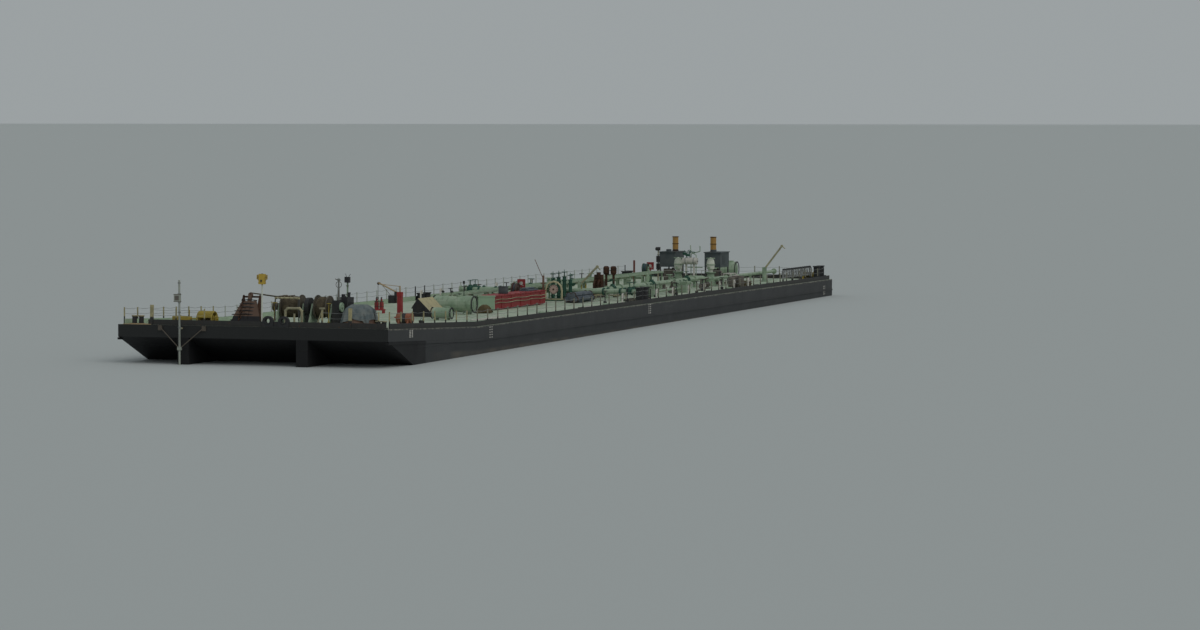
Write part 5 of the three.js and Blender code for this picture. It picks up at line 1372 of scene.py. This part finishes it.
def hatch_details():
    """Hand-wheel dogs round each hatch lid, which lift with it, and gauge pipes beside the trunks."""
    for x, side in HATCHES:
        row = 1 if x > -60 else 2
        name = "port" if side > 0 else "starboard"
        dogs = []
        for dx, dy in ((-0.44, 0), (0.44, 0), (-0.3, 0.42), (0.3, 0.42)):
            at, y = x + dx, side * (4.75 + dy * 0.9)
            dogs += [rod((at, y, 0.76), (at, y, 0.9), 0.022, 8), wheel((at, y, 0.88), 0.07, "Z", 0.012, 2)]
        bends = ((-0.16, 0.79), (-0.16, 0.9), (0.16, 0.9), (0.16, 0.79))
        handle = tube([(x + dx, side * 4.9, z) for dx, z in bends], 0.018, 6)
        keep(f"{name}_hatch_dogs_{row}", merged(*dogs, handle), MAIN, "dark_green", body=f"{name}_lid_{row}")
    gauges = []
    for x, side in HATCHES:
        gauges += [
            rod((x + 0.85, side * 4.75, 0), (x + 0.85, side * 4.75, 0.62), 0.07, 12),
            collar((x + 0.85, side * 4.75, 0.62), 0.05, 0.13, 0.05, steps=16),
            turned([(0, 0.64), (0.1, 0.64), (0.1, 0.72), (0, 0.76)], (x + 0.85, side * 4.75, 0), steps=16),
        ]
    keep("gauge_pipes", merged(*gauges), MAIN, "pale_green")
    covers = []
    for s in (31, 43.5, 57, 71, 82):
        for side in (-1, 1):
            covers += [
                turned(
                    [(0, 0), (0.38, 0), (0.38, 0.05), (0.33, 0.09), (0, 0.09)], (-s, side * 6.2, 0), steps=28
                ),
                bolt_circle((-s, side * 6.2, 0.08), 0.31, 12, 0.022, 0.06),
            ]
    keep("manhole_covers", merged(*covers), MAIN, "pale_green")


def deck_stands():
    """Goosenecked tank vents near the side rails and reach rods with hand wheels further in."""
    necks = []
    rods = []
    for i in range(9):
        s = 43.6 + 3.6 * i
        for side in (-1, 1):
            y = side * 7.15
            bends = ((0, 0), (0, 0.62), (-0.06, 0.73), (-0.17, 0.73), (-0.23, 0.6))
            necks += [
                tube([(-s + dx, y, z) for dx, z in bends], 0.055, 8),
                collar((-s, y, 0.03), 0.04, 0.12, 0.06, steps=16),
                rod((-s - 0.23, y, 0.62), (-s - 0.23, y, 0.5), 0.075, 12),
            ]
            at, y = -s - 1.3, side * (5.5 + 0.35 * (i % 3))
            rods += [
                rod((at, y, 0), (at, y, 0.84), 0.035, 8),
                block((at - 0.09, y - 0.09, 0), (at + 0.09, y + 0.09, 0.16), 0.01),
                wheel((at, y, 0.84), 0.17, "Z", 0.018),
            ]
    keep("tank_vents", merged(*necks), MAIN, "white_paint")
    keep("reach_rods", merged(*rods), MAIN, "black_paint")


def pump_gear():
    """Fins, cap, bolts and outlet of the stripping pump, and ribs on the two vent heads."""
    cabinet = merged(
        *(block((-54.56, 1.54, 0.35 + 0.12 * i), (-54.05, 2.1, 0.39 + 0.12 * i), 0.006) for i in range(9)),
        rod((-54.3, 1.82, 1.5), (-54.3, 1.82, 1.72), 0.14, 16),
        bolt_circle((-54.3, 1.82, 0.05), 0.42, 6, 0.03, 0.1),
        tube([(-54.3, 2.05, 0.3), (-54.3, 2.6, 0.3), (-54.3, 2.9, 0.5)], 0.07, 10),
    )
    keep("stripping_pump_fins", cabinet, MAIN, "rusty_steel")
    vents = []
    for y in (0.9, 1.44):
        vents += [collar((-58.6, y, 1.42 + 0.11 * i), 0.15, 0.215, 0.03, steps=20) for i in range(5)]
    keep("vent_head_ribs", merged(*vents), MAIN, "rusty_steel")


foredeck_gear()
davit_parts()
extinguishers()
tank_fittings()
white_ladder()
locker_fittings()
reel_fittings()
manifold_details()
crossing_details()
run_details()
hatch_details()
deck_stands()
pump_gear()


# Stern


def pump_details():
    """Bolts, bands, a gauge and two bent pipes on each of the two cargo pumps."""
    for number, y in ((1, 0.52), (2, 3.05)):
        x = -76.3
        parts = [
            bolt_circle((x, y, 0.95), 0.37, 12, 0.022, 0.08),
            *(
                collar((x, y, z), inner, outer, 0.05, steps=28)
                for z, inner, outer in ((0.98, 0.3, 0.4), (1.55, 0.3, 0.345), (2.02, 0.28, 0.335))
            ),
            rod((x + 0.25, y, 1.3), (x + 0.42, y, 1.3), 0.05, 10),
            rod((x + 0.42, y, 1.3), (x + 0.44, y, 1.3), 0.1, 16),
            tube(
                [(x, y + 0.2, 0.4), (x, y + 0.62, 0.4), (x + 0.1, y + 0.72, 0.3), (x + 0.1, y + 0.72, 0.02)],
                0.09, 10,
            ),
            tube(
                [
                    (x + 0.28, y - 0.15, 0.5), (x + 0.8, y - 0.2, 0.5),
                    (x + 1.1, y - 0.2, 0.45), (x + 1.1, y - 0.2, 0.02),
                ],
                0.11, 10,
            ),
        ]
        keep(f"pump_{number}_fittings", merged(*parts), MAIN, "pale_green")


HOUSES = [{"number": 1, "y": -0.8, "stack": -0.5}, {"number": 2, "y": 2.75, "stack": 2.48}]
GUARD_X = -77.35


def house_details():
    """Louvres, seams and stack rims on the two pump houses, parts on their engines, and guard rails."""
    for house in HOUSES:
        number, y = house["number"], house["y"]
        slat = block((-0.42, 0.6, 0), (0.42, 0.625, 0.035), 0.004)
        louvres = copies(slat, shifts(*((-78.6, y, 1.55 + 0.08 * i) for i in range(8))))
        frames = [block((-79.1, y + 0.595, z), (-78.1, y + 0.62, z + 0.04)) for z in (1.48, 2.2)]
        seams = [block((s - 0.02, y - 0.62, 1.3), (s + 0.02, y + 0.62, 2.385)) for s in (-79.86, -77.74)]
        keep(f"pump_house_{number}_louvres", merged(louvres, *frames, *seams), MAIN, "house_blue")
        rims = [collar((-78.8, house["stack"], z), 0.2, 0.245, 0.05, steps=28) for z in (2.46, 3.0, 3.52)]
        keep(f"pump_house_{number}_stack_rims", merged(*rims), MAIN, "rusty_steel")
        injector = rod((0, -0.2, 0.98), (0, 0.2, 0.98), 0.05, 8)
        fan = block((-0.012, -0.36, 0.2), (0.012, 0.36, 1.1))
        engine = [
            copies(injector, along_line((-79.1, y, 0), (-78.35, y, 0), 6)),
            rod((-78.32, y, 0.75), (-78.28, y, 0.75), 0.3, 18),
            tube([(-79.15, y + 0.27, 0.8), (-78.8, y + 0.36, 0.82), (-78.35, y + 0.27, 0.8)], 0.04, 8),
            tube([(-79.15, y + 0.27, 0.6), (-78.7, y + 0.33, 0.5), (-78.35, y + 0.3, 0.45)], 0.03, 8),
            *(rod((s, y + 0.26, 0.5), (s, y + 0.4, 0.5), 0.07, 12) for s in (-78.95, -78.7)),
            copies(fan, along_line((-78.0, y, 0), (-77.95, y, 0), 2)),
            rod((-79.5, y, 0.8), (-79.5, y, 0.9), 0.04, 8),
        ]
        keep(f"engine_{number}_details", merged(*engine), MAIN, "grey_brown")
    rails = []
    for low, high in ((-1.45, -0.1), (2.0, 3.6)):
        corners = ((low, 0), (low, 1.04), (high, 1.04), (high, 0))
        rails += [
            tube([(GUARD_X, y, z) for y, z in corners], 0.022, 8),
            tube([(GUARD_X, low, 0.55), (GUARD_X, high, 0.55)], 0.018, 8),
        ]
    keep("engine_guard_rails", merged(*rails), MAIN, "white_paint")


def receiver_details():
    """Bands, ends and valves of the air receiver, and the thin pipes that branch above it."""
    bands = [collar((-75.6, y, 1.82), 0.24, 0.27, 0.05, "Y", 28) for y in (1.35, 1.98)]
    ends = [
        rod((-75.6, 1.67, 2.05), (-75.6, 1.67, 2.16), 0.05, 10),
        rod((-75.6, 2.2, 1.82), (-75.6, 2.3, 1.82), 0.04, 10),
    ]
    keep("receiver_bands", merged(*bands, *ends), MAIN, "grey_steel")
    stems = [
        tube([(-75.6, 1.45, 2.04), (-75.62, 1.3, 2.3), (-75.66, 1.22, 2.6)], 0.03, 6),
        tube([(-75.6, 1.67, 2.1), (-75.7, 1.6, 2.45), (-75.9, 1.62, 2.5), (-76.1, 1.9, 2.45)], 0.035, 6),
        tube([(-75.7, 1.45, 2.3), (-75.9, 1.2, 2.42), (-76.2, 1.1, 2.3)], 0.03, 6),
        wheel((-75.62, 1.3, 2.38), 0.14, "X", 0.02),
        wheel((-75.68, 1.58, 2.5), 0.13, "X", 0.02),
        block((-75.78, 1.36, 2.16), (-75.5, 1.62, 2.34), 0.02),
        block((-75.76, 1.1, 2.28), (-75.54, 1.36, 2.44), 0.02),
    ]
    keep("receiver_valves", merged(*stems), MAIN, "dark_green")
    pipes = [
        tube([(-77.0, 1.3, 0), (-77.0, 1.3, 2.3), (-77.0, 2.0, 2.5), (-77.0, 2.0, 2.9)], 0.04, 8),
        tube([(-77.0, 1.7, 0), (-77.0, 1.7, 2.2), (-77.0, 1.3, 2.45), (-77.0, 1.25, 2.95)], 0.035, 8),
        tube([(-77.0, 1.05, 1.3), (-77.0, 2.2, 1.3)], 0.035, 8),
    ]
    keep("twig_pipes", merged(*pipes), MAIN, "pale_green")


def aft_mast_details():
    """Clips, lamp and cable on the aft mast."""
    x, y = -77, -1.28
    lamp = merged(
        *(collar((x, y, z), 0.03, 0.1, 0.04) for z in (1.1, 1.6, 2.2, 2.55)),
        block((x + 0.06, y - 0.14, 2.56), (x + 0.3, y + 0.12, 2.74), 0.02),
        rod((x + 0.28, y, 2.65), (x + 0.34, y, 2.65), 0.09, 14),
        tube([(x + 0.05, y + 0.12, 1.2), (x + 0.08, y + 0.3, 0.9), (x + 0.05, y + 0.35, 0.02)], 0.02, 6),
    )
    keep("aft_mast_lamp", lamp, MAIN, "black_paint")


def port_quarter_gear():
    """Fenders, a pile of rope rings and small pumps stowed along the port side."""
    fenders = []
    for fx, fy, high in ((-73.7, 5.75, 0.85), (-73.2, 6.3, 0.85), (-72.75, 5.8, 0.78)):
        side = [(0, 0), (0.24, 0), (0.27, 0.05), (0.27, high - 0.05), (0.24, high), (0, high)]
        fenders += [
            turned(side, (fx, fy, 0), steps=28),
            *(hoop((fx, fy, z), 0.27, 0.02, "Z", 28, 6) for z in (0.15, 0.4, high - 0.15)),
        ]
    keep("fenders", merged(*fenders), MAIN, "grey_brown")
    coil = []
    for i in range(5):
        place = (-75.6 + 0.02 * (i % 3), 6.0, 0.045 + 0.08 * i)
        coil.append(hoop(place, 0.42 - 0.06 * (i % 2), 0.045, "Z", 36, 8))
    keep("rope_pile", merged(*coil), MAIN, "rope")
    small = []
    for px, py in ((-62.4, 4.6), (-64.4, 3.9), (-67.2, 5.2), (-70.6, 4.5)):
        small += [
            block((px - 0.35, py - 0.22, 0), (px + 0.35, py + 0.22, 0.08), 0.01),
            rod((px - 0.28, py, 0.3), (px + 0.1, py, 0.3), 0.19, 16),
            rod((px + 0.1, py, 0.3), (px + 0.3, py, 0.3), 0.12, 14),
            tube([(px + 0.2, py, 0.35), (px + 0.2, py, 0.72), (px + 0.2, py + 0.25, 0.8)], 0.05, 8),
            *(collar((px - 0.28 + 0.06 * i, py, 0.3), 0.18, 0.205, 0.02, "X", 20) for i in range(6)),
            wheel((px + 0.2, py, 0.66), 0.12, "Z", 0.014),
        ]
    keep("small_pumps", merged(*small), MAIN, "grey_brown")


def wire_loops():
    """Loops of wire hung over the rack's rail."""
    loops = [
        tube(arc((lx, 7.12, 0.72), 0.3 + 0.03 * math.sin(3.7 * lx), -80, 262, 26, "XZ"), 0.014, 6)
        for lx in [-81.95 - 0.31 * i for i in range(22)]
    ]
    keep("wire_loops", merged(*loops), MAIN, "grey_steel")


WIRE_THICK = 0.009


def slack_wire(x, y0, y1, z):
    """A thin wire across the barge, a little slack in the middle."""
    return tube([(x, y0, z), (x, (y0 + y1) / 2, z - 0.04), (x, y1, z)], WIRE_THICK, 4)


def rail_wires():
    """Two thin wires through the side posts, and two between the posts at the bow and at the stern."""
    wires = []
    posts = [-0.53 - POST_SPACING * i for i in range(53)]
    for side in (-8.09, 8.09):
        for high, sag in ((0.9, 0.05), (0.6, 0.04)):
            points = []
            for a, b in zip(posts, posts[1:]):
                points += [(a, side, high), ((a + b) / 2, side, high - sag)]
            points.append((posts[-1], side, high))
            wires.append(tube([(px, py, pz + deck_rise(px)) for px, py, pz in points], WIRE_THICK, 4))
    keep("rail_wires", merged(*wires), MAIN, "grey_steel")
    bow = []
    stern = []
    for z in (0.55, 0.85):
        for y0, y1 in ((-6.2, -4.7), (-4.7, -2.95), (4.2, 5.9), (5.9, 7.6)):
            bow.append(slack_wire(-0.14, y0, y1, z))
        for y in (-6, -4, -2, 0, 2, 4):
            stern.append(slack_wire(-91.26, y, y + 2, z))
    keep("bow_rail_wires", merged(*bow), FORE, "grey_steel")
    keep("stern_rail_wires", merged(*stern), MAIN, "grey_steel")


DRAFT_MARKS = [
    {"s": 3.3, "from": -0.16, "to": -0.5, "rise": 0.4},
    {"s": 16.0, "from": -0.15, "to": -0.75, "rise": 0.0},
    {"s": 46.0, "from": -0.1, "to": -0.65, "rise": 0.0},
    {"s": 89.0, "from": -0.5, "to": -1.1, "rise": 0.0},
]


def draft_marks():
    """Short blank weld-bead dashes down both sides, where the draft is read."""
    ticks = []
    for mark, side in itertools.product(DRAFT_MARKS, (-1, 1)):
        low, high = sorted((side * 8.22, side * 8.243))
        for i in range(5):
            z = mark["from"] + (mark["to"] - mark["from"]) * i / 4 + mark["rise"]
            for x in (-mark["s"], -mark["s"] - 0.34):
                ticks.append(block((x, low, z), (x + 0.15, high, z + 0.06)))
    keep("draft_marks", merged(*ticks), MAIN, "white_paint")


def bitt_details():
    """Welded collars and cross pins on the four pairs of bitts."""
    parts = []
    for s, (side, high), shift in itertools.product((45.8, 89.1), ((1, 1.1), (-1, 0.5)), (-0.54, 0.54)):
        x, y, z = -s + shift, side * 7.79, 0.62 * high
        parts += [
            collar((x, y, 0.04), 0.24, 0.33, 0.06, steps=28),
            rod((x - 0.36, y, z), (x + 0.36, y, z), 0.04, 10),
        ]
    keep("bitt_collars", merged(*parts), MAIN, "black_paint")


SPOKE_ANGLES = (0.3, 1.35, 2.4, 3.44, 4.49, 5.54)


def hand_winch_cranks():
    """Spokes, hub and handle on the port end of each hand winch."""
    for winch in HAND_WINCHES:
        x, y = winch["x"], winch["y"]
        tips = [(x + 0.23 * math.cos(a), y + 0.58, 0.36 + 0.23 * math.sin(a)) for a in SPOKE_ANGLES]
        crank = merged(
            *(rod((x, y + 0.58, 0.36), tip, 0.016, 6) for tip in tips),
            rod((x, y + 0.5, 0.36), (x, y + 0.68, 0.36), 0.05, 12),
            rod((x + 0.19, y + 0.58, 0.46), (x + 0.19, y + 0.8, 0.46), 0.022, 8),
        )
        keep(f"{winch['name']}_crank", crank, winch["deck"], "mustard", body=f"{winch['name']}_drum")


pump_details()
house_details()
receiver_details()
aft_mast_details()
port_quarter_gear()
wire_loops()
rail_wires()
draft_marks()
bitt_details()
hand_winch_cranks()


# Floor at the waterline, light and camera

TRIM = math.radians(0.263)
WATER_UP = Vector((math.sin(TRIM), 0, math.cos(TRIM)))
WATER_AMIDSHIPS = 0.218
CAMERA_PLACE = Vector((24.126, 8.78, 1.512))
CAMERA_LOOK = Vector((-0.94464, -0.3247, -0.048))
CAMERA_LENS = 114.84
FLOOR_REACH = 500.0
FLOOR_COLOUR = (0.5, 0.53, 0.53, 1)
SKY_COLOUR = (0.86, 0.93, 0.95, 1)
SKY_STRENGTH = 0.385
SUN_COLOUR = (1, 0.98, 0.94)
SUN_STRENGTH = 0.72
SUN_WIDTH = math.radians(50)
SUN_TURN = (math.radians(42), 0, math.radians(150))
SENSOR_WIDE = 36
SEEN_AS_FAR_AS = 2000


def floor():
    """The plain studio floor, at the barge's water line."""
    bm = bmesh.new()
    bmesh.ops.create_grid(bm, x_segments=1, y_segments=1, size=FLOOR_REACH)
    turn = Vector((0, 0, 1)).rotation_difference(WATER_UP).to_matrix().to_4x4()
    bm.transform(Matrix.Translation((0, 0, WATER_AMIDSHIPS)) @ turn)
    mesh = bpy.data.meshes.new("studio_floor")
    bm.to_mesh(mesh)
    bm.free()
    plane = bpy.data.objects.new("studio_floor", mesh)
    bpy.context.scene.collection.objects.link(plane)
    material = bpy.data.materials.new("studio_floor")
    material.use_nodes = True
    shader = material.node_tree.nodes["Principled BSDF"]
    shader.inputs["Base Color"].default_value = FLOOR_COLOUR
    shader.inputs["Roughness"].default_value = 0.9
    shader.inputs["Specular IOR Level"].default_value = 0.1
    mesh.materials.append(material)


def studio_light():
    """A plain pale sky and one wide, soft key light."""
    world = bpy.data.worlds.new("studio")
    world.use_nodes = True
    sky = world.node_tree.nodes["Background"]
    sky.inputs["Color"].default_value = SKY_COLOUR
    sky.inputs["Strength"].default_value = SKY_STRENGTH
    bpy.context.scene.world = world
    sun = bpy.data.lights.new("soft_key", "SUN")
    sun.energy = SUN_STRENGTH
    sun.angle = SUN_WIDTH
    sun.color = SUN_COLOUR
    key = bpy.data.objects.new("soft_key", sun)
    key.rotation_euler = SUN_TURN
    bpy.context.scene.collection.objects.link(key)


def camera():
    """The camera at the photo's viewing angle, upright over the water."""
    lens = bpy.data.cameras.new("camera")
    lens.lens = CAMERA_LENS
    lens.sensor_width = SENSOR_WIDE
    lens.clip_end = SEEN_AS_FAR_AS
    eye = bpy.data.objects.new("camera", lens)
    back = -CAMERA_LOOK.normalized()
    right = WATER_UP.cross(back).normalized()
    up = back.cross(right)
    turn = Matrix((right, up, back)).transposed()
    eye.matrix_world = Matrix.Translation(CAMERA_PLACE) @ turn.to_4x4()
    bpy.context.scene.collection.objects.link(eye)
    bpy.context.scene.camera = eye


floor()
studio_light()
camera()
bpy.context.scene.view_settings.view_transform = "Standard"
